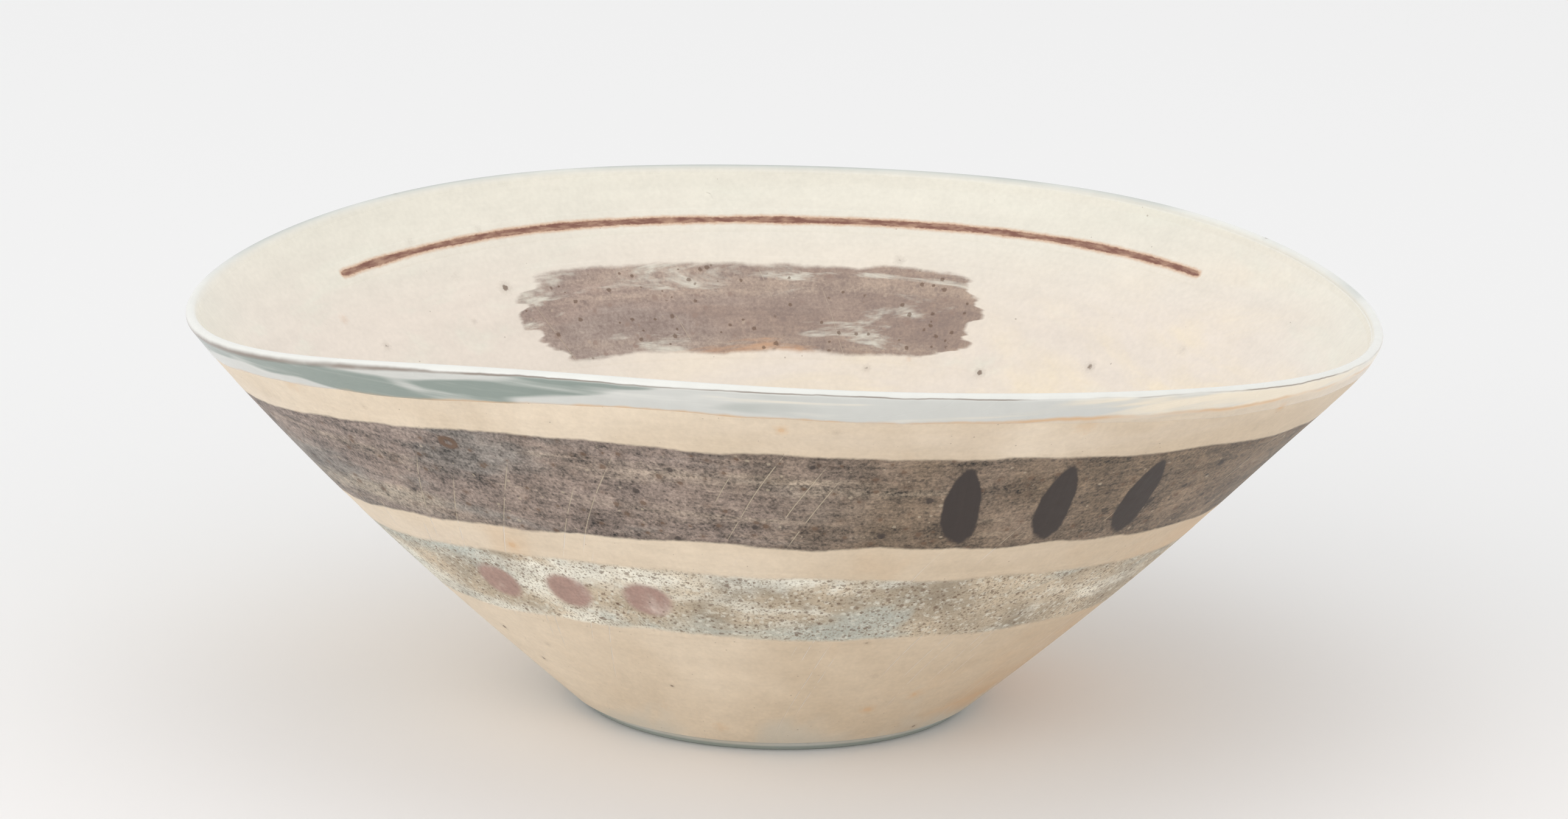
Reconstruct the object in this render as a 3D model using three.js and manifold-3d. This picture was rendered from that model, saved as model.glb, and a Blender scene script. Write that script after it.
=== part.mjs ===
// Large oval porcelain bowl with a dipping lip, thin glaze and slip layers and a low turned foot.
// Millimetres, +Z up. The origin is on the table, under the middle of the lip's extents.
// +X runs along the long axis and -Y is the front.

import * as THREE from 'three';
import * as BufferGeometryUtils from 'three/addons/utils/BufferGeometryUtils.js';
import Module from 'manifold-3d';

// Lip: eight stations round the bowl, a reach from the foot's axis and a height above the table
const lipRight = { reach: 150.5, height: 99.5 };
const lipFarRight = { reach: 146, height: 104.5 };
const lipFar = { reach: 141.5, height: 104.5 };
const lipFarLeft = { reach: 141, height: 105 };
const lipLeft = { reach: 149.5, height: 97.5 };
const lipNearLeft = { reach: 133, height: 108 };
const lipNear = { reach: 134, height: 114.5 };
const lipNearRight = { reach: 142.5, height: 108 };

// Wall: where it starts above the foot, how full its curve is, and how it turns up under the lip
const baseRadius = 52.7;
const baseHeight = 3;
const wallFullness = 0.19;
const lipUprightRight = 2.3;
const lipUprightLeft = 0.2;
const lipUprightSharpness = 12;
const lipThickness = 2.7;
const baseThickness = 4.6;
const thicknessFall = 1.5;

// Floor and foot
const floorThickness = 5;
const floorFlatRadius = 30;
const kneeShare = 0.14;
const footRadius = 49.8;
const footWidth = 5;
const footRecess = 5;
const footChamfer = 0.7;
const bareFootHeight = 0.8;
const footCoveReach = 1.8;

// Fired layers: their thickness, and the clearance that each keeps to what it lies on or beside
const glazeThickness = 0.35;
const slipThickness = 0.35;
const layerClearance = 0.2;
const edgeClearance = 0.25;

// Pale glaze over the lip: how far it runs down outside and inside, and how wavy its edge is
const rimGlazeOutside = 9.5;
const rimGlazeInside = 4.5;
const rimGlazeWave = 1.1;

// Slip bands and strokes. Angles are in degrees from +X towards +Y, and share is how far up the wall.
const greyBand = { from: 168, to: 492, share: 0.71, width: 34, endTaper: 16 };
const sandBand = { from: 172, to: 488, share: 0.41, width: 24, endTaper: 14 };
const greyArc = { from: 62, to: 128, share: 0.66, width: 26, endTaper: 12 };
const ironLine = { from: 36, to: 150, share: 0.86, width: 2.4, endTaper: 3 };
const darkDab = { share: 0.71, width: 9, length: 30, lean: 8 };
const darkDabAngles = [292, 304, 316, 94, 106, 118];
const pinkDot = { share: 0.41, width: 12, length: 12, lean: 0 };
const pinkDotAngles = [222, 236, 250, 24, 38, 52];

// Facets
const segments = 48;
const wallShares = [0.32, 0.52, 0.71, 0.88];
const highShare = 0.965;
const underLipShare = 0.9;
const kneeSteps = 3;
const lipSteps = 4;
const strokeSides = 12;
const bandRows = 2;

const stations = [lipRight, lipFarRight, lipFar, lipFarLeft, lipLeft, lipNearLeft, lipNear, lipNearRight];
const reaches = stations.map((station) => station.reach);
const heights = stations.map((station) => station.height);
const lipRadius = lipThickness / 2;
const glazeSeat = glazeThickness + layerClearance;
const slipSeat = slipThickness + layerClearance;
const floorTop = footRecess + floorThickness;
const footInnerRadius = footRadius - glazeSeat - footWidth;
const segmentAngle = (2 * Math.PI) / segments;
const tinyStep = 1e-3;

const wasm = await Module();
wasm.setup();

const materials = {
  porcelain: new THREE.MeshStandardMaterial({ color: 0xe9e2d6, roughness: 0.75 }),
  liner: new THREE.MeshStandardMaterial({ color: 0xeee6da, roughness: 0.35 }),
  cream: new THREE.MeshStandardMaterial({ color: 0xe0d0b4, roughness: 0.55 }),
  paleGlaze: new THREE.MeshStandardMaterial({ color: 0xd6dad3, roughness: 0.2 }),
  greySlip: new THREE.MeshStandardMaterial({ color: 0x8d8279, roughness: 0.6 }),
  sandSlip: new THREE.MeshStandardMaterial({ color: 0xc8bba4, roughness: 0.65 }),
  darkSlip: new THREE.MeshStandardMaterial({ color: 0x473f3c, roughness: 0.5 }),
  pinkSlip: new THREE.MeshStandardMaterial({ color: 0xb08f80, roughness: 0.6 }),
  ironSlip: new THREE.MeshStandardMaterial({ color: 0xbf9b8a, roughness: 0.6 }),
};

// Smooth closed blend through the eight stations, as a short Fourier sum
function roundTheLip(values, angle) {
  const count = values.length;
  let sum = 0;
  values.forEach((value, index) => {
    const gap = angle - (2 * Math.PI * index) / count;
    let weight = 1 + Math.cos((count / 2) * gap);
    for (let wave = 1; wave < count / 2; wave += 1) {
      weight += 2 * Math.cos(wave * gap);
    }
    sum += (value * weight) / count;
  });
  return sum;
}

// The lip round the foot's axis, and the shift that puts the origin under the middle of its extents
function lipFromFoot(angle) {
  const reach = roundTheLip(reaches, angle);
  return new THREE.Vector3(reach * Math.cos(angle), reach * Math.sin(angle), roundTheLip(heights, angle));
}

const lipBox = new THREE.Box3().setFromPoints(
  Array.from({ length: segments }, (unused, index) => lipFromFoot(index * segmentAngle)),
);
const footCentre = lipBox.getCenter(new THREE.Vector3()).setZ(0).negate();

// Finished outside of the wall: share is 0 where it leaves the foot and 1 at the lip
function outside(angle, share) {
  const lip = lipFromFoot(angle);
  const base = new THREE.Vector3(baseRadius * Math.cos(angle), baseRadius * Math.sin(angle), baseHeight);
  const run = Math.hypot(lip.x - base.x, lip.y - base.y);
  const peak = lipUprightSharpness / (lipUprightSharpness + 1);
  const peakValue = peak ** lipUprightSharpness * (1 - peak);
  const side = (1 + Math.cos(angle)) / 2;
  const upright = lipUprightLeft + (lipUprightRight - lipUprightLeft) * side;
  const turn = (upright * share ** lipUprightSharpness * (1 - share)) / peakValue;
  const outward = share + wallFullness * share * (1 - share) + turn / run;
  return new THREE.Vector3(
    base.x + (lip.x - base.x) * outward,
    base.y + (lip.y - base.y) * outward,
    base.z + (lip.z - base.z) * share,
  ).add(footCentre);
}

function upTheWall(angle, share) {
  return outside(angle, share + tinyStep).sub(outside(angle, share - tinyStep)).divideScalar(2 * tinyStep);
}

function intoTheWall(angle, share) {
  const along = outside(angle + tinyStep, share).sub(outside(angle - tinyStep, share));
  return upTheWall(angle, share).cross(along).normalize();
}

function wallThickness(share) {
  return lipThickness + (baseThickness - lipThickness) * Math.max(0, 1 - share) ** thicknessFall;
}

// A point under the finished outside, and one under the finished inside
function fromOutside(angle, share, depth) {
  return outside(angle, share).addScaledVector(intoTheWall(angle, share), depth);
}

function fromInside(angle, share, depth) {
  return fromOutside(angle, share, wallThickness(share) - depth);
}

// Share of the wall that a length takes, going by the slope at a place on the wall
function shareOf(length, angle, share) {
  return length / upTheWall(angle, share).length();
}

// The wall ends where the half-round lip begins
function wallTop(angle) {
  return 1 - shareOf(lipRadius, angle, 1);
}

function ringAt(radius, height) {
  return (angle) => new THREE.Vector3(radius * Math.cos(angle), radius * Math.sin(angle), height).add(footCentre);
}

function poleAt(height) {
  return { pole: new THREE.Vector3(0, 0, height).add(footCentre) };
}

// Rings up the inside, from the flat floor round the knee and up the wall to the given top edges
function insideRings(depth, topEdges) {
  const rings = [ringAt(floorFlatRadius, floorTop - depth)];
  for (let step = 1; step < kneeSteps; step += 1) {
    rings.push((angle) => knee(angle, step / kneeSteps, depth));
  }
  const edges = [kneeShare, ...wallShares].map((share) => () => share).concat(topEdges);
  return rings.concat(edges.map((edge) => (angle) => fromInside(angle, edge(angle), depth)));
}

// The curve that joins the floor to the wall, tangent to both
function knee(angle, along, depth) {
  const floor = ringAt(floorFlatRadius, floorTop - depth)(angle);
  const wall = fromInside(angle, kneeShare, depth);
  const slope = upTheWall(angle, kneeShare);
  const corner = wall.clone().addScaledVector(slope, (floor.z - wall.z) / slope.z);
  return new THREE.QuadraticBezierCurve3(floor, corner, wall).getPoint(along);
}

// Rings up the outside, from where the wall leaves the foot
function outsideRings(depth, topEdges) {
  const edges = [0, kneeShare, ...wallShares].map((share) => () => share).concat(topEdges);
  return edges.map((edge) => (angle) => fromOutside(angle, edge(angle), depth));
}

// Rings over the half-round lip, from the inside to the outside
function lipRings(radius) {
  return Array.from({ length: lipSteps - 1 }, (unused, step) => (angle) => {
    const share = wallTop(angle);
    const turn = (Math.PI * (step + 1)) / lipSteps;
    const inward = intoTheWall(angle, share);
    const upward = upTheWall(angle, share).normalize();
    return fromOutside(angle, share, lipRadius)
      .addScaledVector(inward, radius * Math.cos(turn))
      .addScaledVector(upward, radius * Math.sin(turn));
  });
}

// A closed geometry from points and triangles, with its faces turned outwards
function closedGeometry(points, triangles) {
  let volume = 0;
  for (const [a, b, c] of triangles) {
    volume += points[a].dot(points[b].clone().cross(points[c]));
  }
  const turned = volume < 0 ? triangles.map(([a, b, c]) => [a, c, b]) : triangles;
  const geometry = new THREE.BufferGeometry();
  geometry.setAttribute('position', new THREE.Float32BufferAttribute(points.flatMap((p) => p.toArray()), 3));
  geometry.setIndex(turned.flat());
  return geometry;
}

// Two triangles of a quad, parted from its higher start to its lower end, so that layers fold alike
function quadTriangles(points, a, b, c, d) {
  const parted = points[a].z >= points[b].z ? [[a, b, c], [a, c, d]] : [[a, b, d], [b, c, d]];
  return parted.filter((corners) => new Set(corners).size === 3);
}

// Rings joined one after another. A pole closes an end, and without poles the last joins the first.
function turnedGeometry(rings) {
  const points = [];
  const starts = rings.map((ring) => {
    const start = points.length;
    if (ring.pole) {
      points.push(ring.pole);
    } else {
      for (let index = 0; index < segments; index += 1) {
        points.push(ring(index * segmentAngle));
      }
    }
    return start;
  });
  const triangles = [];
  const closed = !rings[0].pole;
  const joins = closed ? rings.length : rings.length - 1;
  for (let join = 0; join < joins; join += 1) {
    const next = (join + 1) % rings.length;
    for (let index = 0; index < segments; index += 1) {
      const after = (index + 1) % segments;
      const [a, d] = [index, after].map((place) => (rings[join].pole ? 0 : place) + starts[join]);
      const [b, c] = [index, after].map((place) => (rings[next].pole ? 0 : place) + starts[next]);
      triangles.push(...quadTriangles(points, a, b, c, d));
    }
  }
  return closedGeometry(points, triangles);
}

// The same face on the flat facets between the rings' angles, where the bands lie
function onFacets(face) {
  return (angle, share, depth) => {
    const before = Math.floor(angle / segmentAngle) * segmentAngle;
    const after = face(before + segmentAngle, share, depth);
    return face(before, share, depth).lerp(after, (angle - before) / segmentAngle);
  };
}

// A thin block on the wall: a grid of places on its top face, the same grid below, and its four sides
function blockGeometry(angles, rows, topPoint, underPoint) {
  const points = [];
  const triangles = [];
  const columns = angles.length - 1;
  for (const face of [topPoint, underPoint]) {
    for (const angle of angles) {
      for (let row = 0; row <= rows; row += 1) {
        points.push(face(angle, row / rows));
      }
    }
  }
  const under = (columns + 1) * (rows + 1);
  const at = (column, row) => column * (rows + 1) + row;
  const quad = (a, b, c, d) => triangles.push([a, b, c], [a, c, d]);
  for (let column = 0; column < columns; column += 1) {
    for (let row = 0; row < rows; row += 1) {
      const [a, b, c, d] = [at(column, row + 1), at(column, row), at(column + 1, row), at(column + 1, row + 1)];
      quad(a, b, c, d);
      triangles.push([a + under, c + under, b + under], [a + under, d + under, c + under]);
    }
    quad(at(column + 1, 0), at(column, 0), at(column, 0) + under, at(column + 1, 0) + under);
    quad(at(column, rows), at(column + 1, rows), at(column + 1, rows) + under, at(column, rows) + under);
  }
  for (let row = 0; row < rows; row += 1) {
    quad(at(0, row), at(0, row + 1), at(0, row + 1) + under, at(0, row) + under);
    quad(at(columns, row + 1), at(columns, row), at(columns, row) + under, at(columns, row + 1) + under);
  }
  return closedGeometry(points, triangles);
}

// A brushed band along the wall, narrowed to a blunt tip over its end tapers
function bandGeometry(band, fromFace, grow, top, under) {
  const middle = fromFace(THREE.MathUtils.degToRad((band.from + band.to) / 2), band.share, 0);
  const radius = Math.hypot(middle.x, middle.y);
  const start = THREE.MathUtils.degToRad(band.from) - grow / radius;
  const end = THREE.MathUtils.degToRad(band.to) + grow / radius;
  const angles = [start];
  for (let angle = (Math.floor(start / segmentAngle) + 1) * segmentAngle; angle < end; angle += segmentAngle) {
    angles.push(angle);
  }
  angles.push(end);
  const place = (depth) => (angle, across) => {
    const toTip = Math.min(angle - start, end - angle) * radius;
    const narrowing = Math.min(1, (toTip + band.endTaper / 2) / band.endTaper);
    const width = band.width * narrowing + 2 * grow;
    const share = band.share + shareOf(width, angle, band.share) * (across - 1 / 2);
    return onFacets(fromFace)(angle, share, depth);
  };
  return blockGeometry(angles, bandRows, place(top), place(under));
}

// A round or long dab pressed on the wall, with its centre, its rim and the same points below
function dabGeometry(dab, degrees, grow, top, under) {
  const centre = THREE.MathUtils.degToRad(degrees);
  const lean = THREE.MathUtils.degToRad(dab.lean);
  const middle = fromOutside(centre, dab.share, 0);
  const radius = Math.hypot(middle.x, middle.y);
  const onWall = (x, y, depth) => {
    const across = x * Math.cos(lean) - y * Math.sin(lean);
    const up = x * Math.sin(lean) + y * Math.cos(lean);
    return fromOutside(centre + across / radius, dab.share + shareOf(up, centre, dab.share), depth);
  };
  const points = [];
  for (const depth of [top, under]) {
    points.push(onWall(0, 0, depth));
    for (let side = 0; side < strokeSides; side += 1) {
      const turn = (2 * Math.PI * side) / strokeSides;
      const x = (dab.width / 2 + grow) * Math.cos(turn);
      const y = (dab.length / 2 + grow) * Math.sin(turn);
      points.push(onWall(x, y, depth));
    }
  }
  const below = strokeSides + 1;
  const triangles = [];
  for (let side = 0; side < strokeSides; side += 1) {
    const a = 1 + side;
    const b = 1 + ((side + 1) % strokeSides);
    triangles.push([0, a, b], [below, b + below, a + below], [a, a + below, b + below], [a, b + below, b]);
  }
  return closedGeometry(points, triangles);
}

// Cutting one closed geometry with others
function solidOf(geometry) {
  const merged = BufferGeometryUtils.mergeVertices(geometry);
  const mesh = new wasm.Mesh({
    numProp: 3,
    vertProperties: Float32Array.from(merged.attributes.position.array),
    triVerts: Uint32Array.from(merged.index.array),
  });
  return new wasm.Manifold(mesh);
}

function cutGeometry(geometry, cutters) {
  const mesh = cutters.reduce((left, cutter) => left.subtract(solidOf(cutter)), solidOf(geometry)).getMesh();
  const result = new THREE.BufferGeometry();
  result.setAttribute('position', new THREE.Float32BufferAttribute(Array.from(mesh.vertProperties), mesh.numProp));
  result.setIndex(Array.from(mesh.triVerts));
  return result;
}

// Edges of the layers, as shares of the wall
const highOnTheWall = () => highShare;
const noCut = 0;
const cutAbove = -1;
const cutBelow = 1;

function rimGlazeEdge(angle) {
  const wave = Math.sin(5 * angle) / 2 + Math.sin(8 * angle + 1) / 2;
  return 1 - shareOf(rimGlazeOutside + rimGlazeWave * wave, angle, underLipShare);
}

function rimGlazeInnerEdge(angle) {
  return 1 - shareOf(rimGlazeInside, angle, underLipShare);
}

function belowEdge(edge) {
  return (angle) => edge(angle) - shareOf(edgeClearance, angle, underLipShare);
}

// Clay: the thrown bowl, hollow under its floor, and the turned ring that it stands on
function porcelainBody() {
  const underside = footRecess + glazeSeat;
  const ledge = baseHeight + layerClearance;
  return turnedGeometry([
    poleAt(floorTop - glazeSeat),
    ...insideRings(glazeSeat, [highOnTheWall, wallTop]),
    ...lipRings(lipRadius - glazeSeat),
    ...outsideRings(slipSeat, [highOnTheWall, wallTop]).reverse(),
    ringAt(baseRadius - glazeSeat, ledge),
    ringAt(footInnerRadius, ledge),
    ringAt(footInnerRadius, underside),
    poleAt(underside),
  ]);
}

function footRing() {
  const outer = footRadius - glazeSeat;
  return turnedGeometry([
    ringAt(footInnerRadius, baseHeight),
    ringAt(outer, baseHeight),
    ringAt(outer, footChamfer),
    ringAt(outer - footChamfer, 0),
    ringAt(footInnerRadius + footChamfer, 0),
    ringAt(footInnerRadius, footChamfer),
  ]);
}

// Glazes: the lining, the pale band over the lip, the cove at the foot and the disc under the floor
function linerGlaze(cutters) {
  const edge = belowEdge(rimGlazeInnerEdge);
  const lining = turnedGeometry([
    poleAt(floorTop),
    ...insideRings(0, [edge]),
    ...insideRings(glazeThickness, [edge]).reverse(),
    poleAt(floorTop - glazeThickness),
  ]);
  return cutGeometry(lining, cutters);
}

function rimGlaze() {
  const within = [rimGlazeInnerEdge, wallTop];
  const without = [rimGlazeEdge, highOnTheWall, wallTop];
  const section = (depth) => [
    ...within.map((edge) => (angle) => fromInside(angle, edge(angle), depth)),
    ...lipRings(lipRadius - depth),
    ...without.map((edge) => (angle) => fromOutside(angle, edge(angle), depth)).reverse(),
  ];
  return turnedGeometry([...section(0), ...section(glazeThickness).reverse()]);
}

function footGlaze() {
  const seat = footRadius - glazeThickness;
  const coveMiddle = (bareFootHeight + baseHeight) / 2;
  return turnedGeometry([
    ringAt(footRadius + footCoveReach, baseHeight),
    ringAt(footRadius + footCoveReach, baseHeight - glazeThickness),
    ringAt(footRadius + footCoveReach / 4, coveMiddle),
    ringAt(footRadius, bareFootHeight),
    ringAt(seat, bareFootHeight),
    ringAt(seat, baseHeight),
  ]);
}

function undersideGlaze() {
  const radius = footInnerRadius - edgeClearance;
  return turnedGeometry([
    poleAt(footRecess + glazeThickness),
    ringAt(radius, footRecess + glazeThickness),
    ringAt(radius, footRecess),
    poleAt(footRecess),
  ]);
}

// Slips: the cream coat outside, with places left for the bands, dabs and dots that lie in it
function band(shape, fromFace) {
  return {
    fill: bandGeometry(shape, fromFace, noCut, noCut, slipThickness),
    cutter: bandGeometry(shape, fromFace, edgeClearance, cutAbove, cutBelow),
  };
}

function dab(shape, degrees) {
  return {
    fill: dabGeometry(shape, degrees, noCut, noCut, slipThickness),
    cutter: dabGeometry(shape, degrees, edgeClearance, cutAbove, cutBelow),
  };
}

function outerCoat(cutters) {
  const topEdge = belowEdge(rimGlazeEdge);
  const coat = turnedGeometry([
    ...outsideRings(0, [topEdge]).reverse(),
    ...outsideRings(slipThickness, [topEdge]),
  ]);
  return cutGeometry(coat, cutters);
}

const bowl = new THREE.Group();

function add(name, geometry, material) {
  const mesh = new THREE.Mesh(geometry, material);
  mesh.name = name;
  bowl.add(mesh);
}

const greyBandParts = band(greyBand, fromOutside);
const sandBandParts = band(sandBand, fromOutside);
const greyArcParts = band(greyArc, fromInside);
const ironLineParts = band(ironLine, fromInside);
const darkDabs = darkDabAngles.map((degrees) => dab(darkDab, degrees));
const pinkDots = pinkDotAngles.map((degrees) => dab(pinkDot, degrees));
const darkCutters = darkDabs.map((stroke) => stroke.cutter);
const pinkCutters = pinkDots.map((stroke) => stroke.cutter);

add('porcelain_body', porcelainBody(), materials.porcelain);
add('foot_ring', footRing(), materials.porcelain);
add('liner_glaze', linerGlaze([greyArcParts.cutter, ironLineParts.cutter]), materials.liner);
add('rim_glaze', rimGlaze(), materials.paleGlaze);
add('foot_glaze', footGlaze(), materials.paleGlaze);
add('underside_glaze', undersideGlaze(), materials.paleGlaze);
add('outer_coat', outerCoat([greyBandParts.cutter, sandBandParts.cutter]), materials.cream);
add('grey_slip_band', cutGeometry(greyBandParts.fill, darkCutters), materials.greySlip);
add('sand_slip_band', cutGeometry(sandBandParts.fill, pinkCutters), materials.sandSlip);
darkDabs.forEach((stroke, index) => add(`dark_slip_dab_${index + 1}`, stroke.fill, materials.darkSlip));
pinkDots.forEach((stroke, index) => add(`pink_slip_dot_${index + 1}`, stroke.fill, materials.pinkSlip));
add('inside_grey_arc', greyArcParts.fill, materials.greySlip);
add('inside_iron_line', ironLineParts.fill, materials.ironSlip);

export default bowl;
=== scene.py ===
"""An altered oval porcelain bowl with brushed slips under its glazes, on a pale floor."""

import math
from functools import cache
from types import SimpleNamespace

import bpy
import numpy as np
from bpy.props import FloatProperty, FloatVectorProperty, IntProperty, PointerProperty
from mathutils import Euler, Matrix, Vector


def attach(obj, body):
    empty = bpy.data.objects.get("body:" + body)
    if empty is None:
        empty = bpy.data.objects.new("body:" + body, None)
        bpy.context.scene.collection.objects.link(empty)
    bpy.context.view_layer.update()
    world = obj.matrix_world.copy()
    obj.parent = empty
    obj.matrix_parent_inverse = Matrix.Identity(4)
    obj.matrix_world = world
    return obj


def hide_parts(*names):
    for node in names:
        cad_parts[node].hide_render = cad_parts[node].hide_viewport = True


bl_info = {
    "name": "Oval Porcelain Bowl",
    "version": (1, 0, 0),
    "blender": (4, 5, 0),
    "location": "View3D > Sidebar > Bowl",
    "description": "Builds an altered oval porcelain bowl with its glazes and brushed slips",
    "category": "Add Mesh",
}

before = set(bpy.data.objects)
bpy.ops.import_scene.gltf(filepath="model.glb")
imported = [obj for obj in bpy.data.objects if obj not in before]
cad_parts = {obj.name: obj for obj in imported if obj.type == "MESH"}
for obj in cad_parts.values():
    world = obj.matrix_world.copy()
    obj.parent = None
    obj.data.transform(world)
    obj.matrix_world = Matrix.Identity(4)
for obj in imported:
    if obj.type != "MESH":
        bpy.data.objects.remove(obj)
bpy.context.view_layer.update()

MM = 0.001
DEGREE = math.pi / 180
TURN = 2 * math.pi
BODY = "root"

# Points of the lip's line, the share of the wall where distances under the lip are measured, and
# steps that the lip's box is found in
LIP_POINTS = 1440
UNDER_LIP = 0.9
CENTRE_STEPS = 48

# Points round a sheet: most sheets, the hidden clay, and the rim with its fine ripple
AROUND = 432
BODY_AROUND = 216
RIM_AROUND = 576

# Shares of the way along some rows of a sheet, closer together where the surface turns more, and
# how many rows go round the floor's bend, the foot's edges and the cove over the foot
FLOOR_PARTS = (0.0, 0.15, 0.35, 0.6, 0.8)
RIM_OUTSIDE_PARTS = (0.0, 0.015, 0.035, 0.06, 0.1, 0.15, 0.2, 0.28, 0.38, 0.5, 0.62, 0.75, 0.88, 1.0)
RIM_INSIDE_PARTS = (0.0, 0.25, 0.5, 0.75, 0.9, 1.0)
RIM_SEAT_PARTS = (1.0, 0.5, 0.0)
BEND_ROWS = 9
FOOT_ROUNDING_ROWS = 7
COVE_ROWS = 11

# Steps in from a stroke's tips and sides in millimetres, and where its even middle starts
TIP_STEPS = (0.0, 0.2, 0.5, 1.0, 1.6, 2.4, 3.4)
TIP_MIDDLE = 5.0
SIDE_STEPS = (0.0, 0.15, 0.4, 0.8, 1.3, 1.9)
SIDE_MIDDLE = 3.0

# How far over the coat the anchors of dabs and dots hang, and how far down each looks for it
ANCHOR_LIFT = 4 * MM
COAT_REACH = 50 * MM

# Shares of a mark's mesh, from its middle, where its film comes out of the coat and is at its full
FILM_START = 0.995
FILM_FULL = 0.86

# How far the coat and the liner run up under the rim glaze
COAT_TUCK = 1.5 * MM
LINER_TUCK = 1 * MM

# Joining distances, the angle of a sharp edge, and what stands for far inside a glaze's edge
WELD = 0.001 * MM
SEAM = 0.004 * MM
SHARP = 50 * DEGREE
FAR_IN = 8 * MM


# Properties


def tone(red, green, blue):
    """A screen colour as the linear values that a shader takes."""

    def linear(level):
        part = level / 255
        return part / 12.92 if part <= 0.04045 else ((part + 0.055) / 1.055) ** 2.4

    return (linear(red), linear(green), linear(blue), 1.0)


def share(name, description, value, step=1.0, **kind):
    """A number, or a row of them, given in steps of this size."""
    kind = {"name": name, "description": description, "precision": 3, **kind}
    if isinstance(value, tuple):
        return FloatVectorProperty(size=len(value), default=[part * step for part in value], **kind)
    return FloatProperty(default=value * step, **kind)


def length(name, description, millimetres):
    return share(name, description, millimetres, MM, unit="LENGTH", precision=5)


def angle(name, description, degrees):
    return share(name, description, degrees, DEGREE, unit="ROTATION")


def colour(name, description, *levels):
    kind = {"subtype": "COLOR", "min": 0.0, "max": 1.0}
    return share(name, description, tone(*levels), **kind)


class BowlSizes(bpy.types.PropertyGroup):
    """The wall from its round foot to its oval, dipping lip, and the foot."""

    lip_reach: length(
        "Lip reach",
        "How far the lip is from the foot's axis, at eight stations from the right, anticlockwise",
        (150.44, 145.8, 141.18, 140.8, 149.37, 132.85, 133.8, 142.35),
    )
    lip_height: length(
        "Lip height",
        "How high the lip is over the table, at the same eight stations",
        (99.4, 104.4, 104.4, 104.9, 97.4, 107.9, 114.38, 107.9),
    )
    base_radius: length("Base radius", "Radius where the wall leaves the foot", 52.7)
    base_height: length("Base height", "Height where the wall leaves the foot", 3)
    wall_fullness: share("Wall fullness", "How far the wall bellies out of a straight cone", 0.19)
    upright_right: length("Upright, right", "How far the wall turns up under the lip, right", 2.3)
    upright_left: length("Upright, left", "How far the wall turns up under the lip, left", 0.2)
    upright_sharpness: IntProperty(
        name="Upright sharpness", description="How close to the lip the wall turns up", default=12
    )
    lip_thickness: length("Lip thickness", "Thickness of the wall at the lip", 2.7)
    base_thickness: length("Base thickness", "Thickness of the wall at the foot", 4.6)
    thickness_fall: share("Thickness fall", "How fast the wall thins towards the lip", 1.5)
    floor_height: length("Floor height", "Height of the floor inside the bowl", 10)
    floor_flat_radius: length("Flat floor radius", "Radius of the flat middle of the floor", 30)
    knee_share: share("Knee", "Share of the wall where the floor's curve ends", 0.14)
    foot_radius: length("Foot radius", "Outer radius of the glazed foot", 49.8)
    foot_inner_radius: length("Foot inner radius", "Radius of the hollow inside the foot", 44.25)
    foot_recess: length("Foot recess", "Height of the hollow under the floor", 5)
    foot_rounding: length("Foot rounding", "Rounding of the foot's bearing edge", 0.7)
    bare_foot_height: length("Bare foot", "Height of the bare clay below the foot's glaze", 0.8)
    foot_cove_reach: length("Foot cove", "How far the glaze at the foot runs under the wall", 1.8)
    glaze_thickness: length("Glaze thickness", "Thickness of the fired glaze", 0.35)
    slip_thickness: length("Slip thickness", "Thickness of the fired slip", 0.35)
    layer_clearance: length("Layer clearance", "Room between the clay and the layers on it", 0.2)


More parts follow.
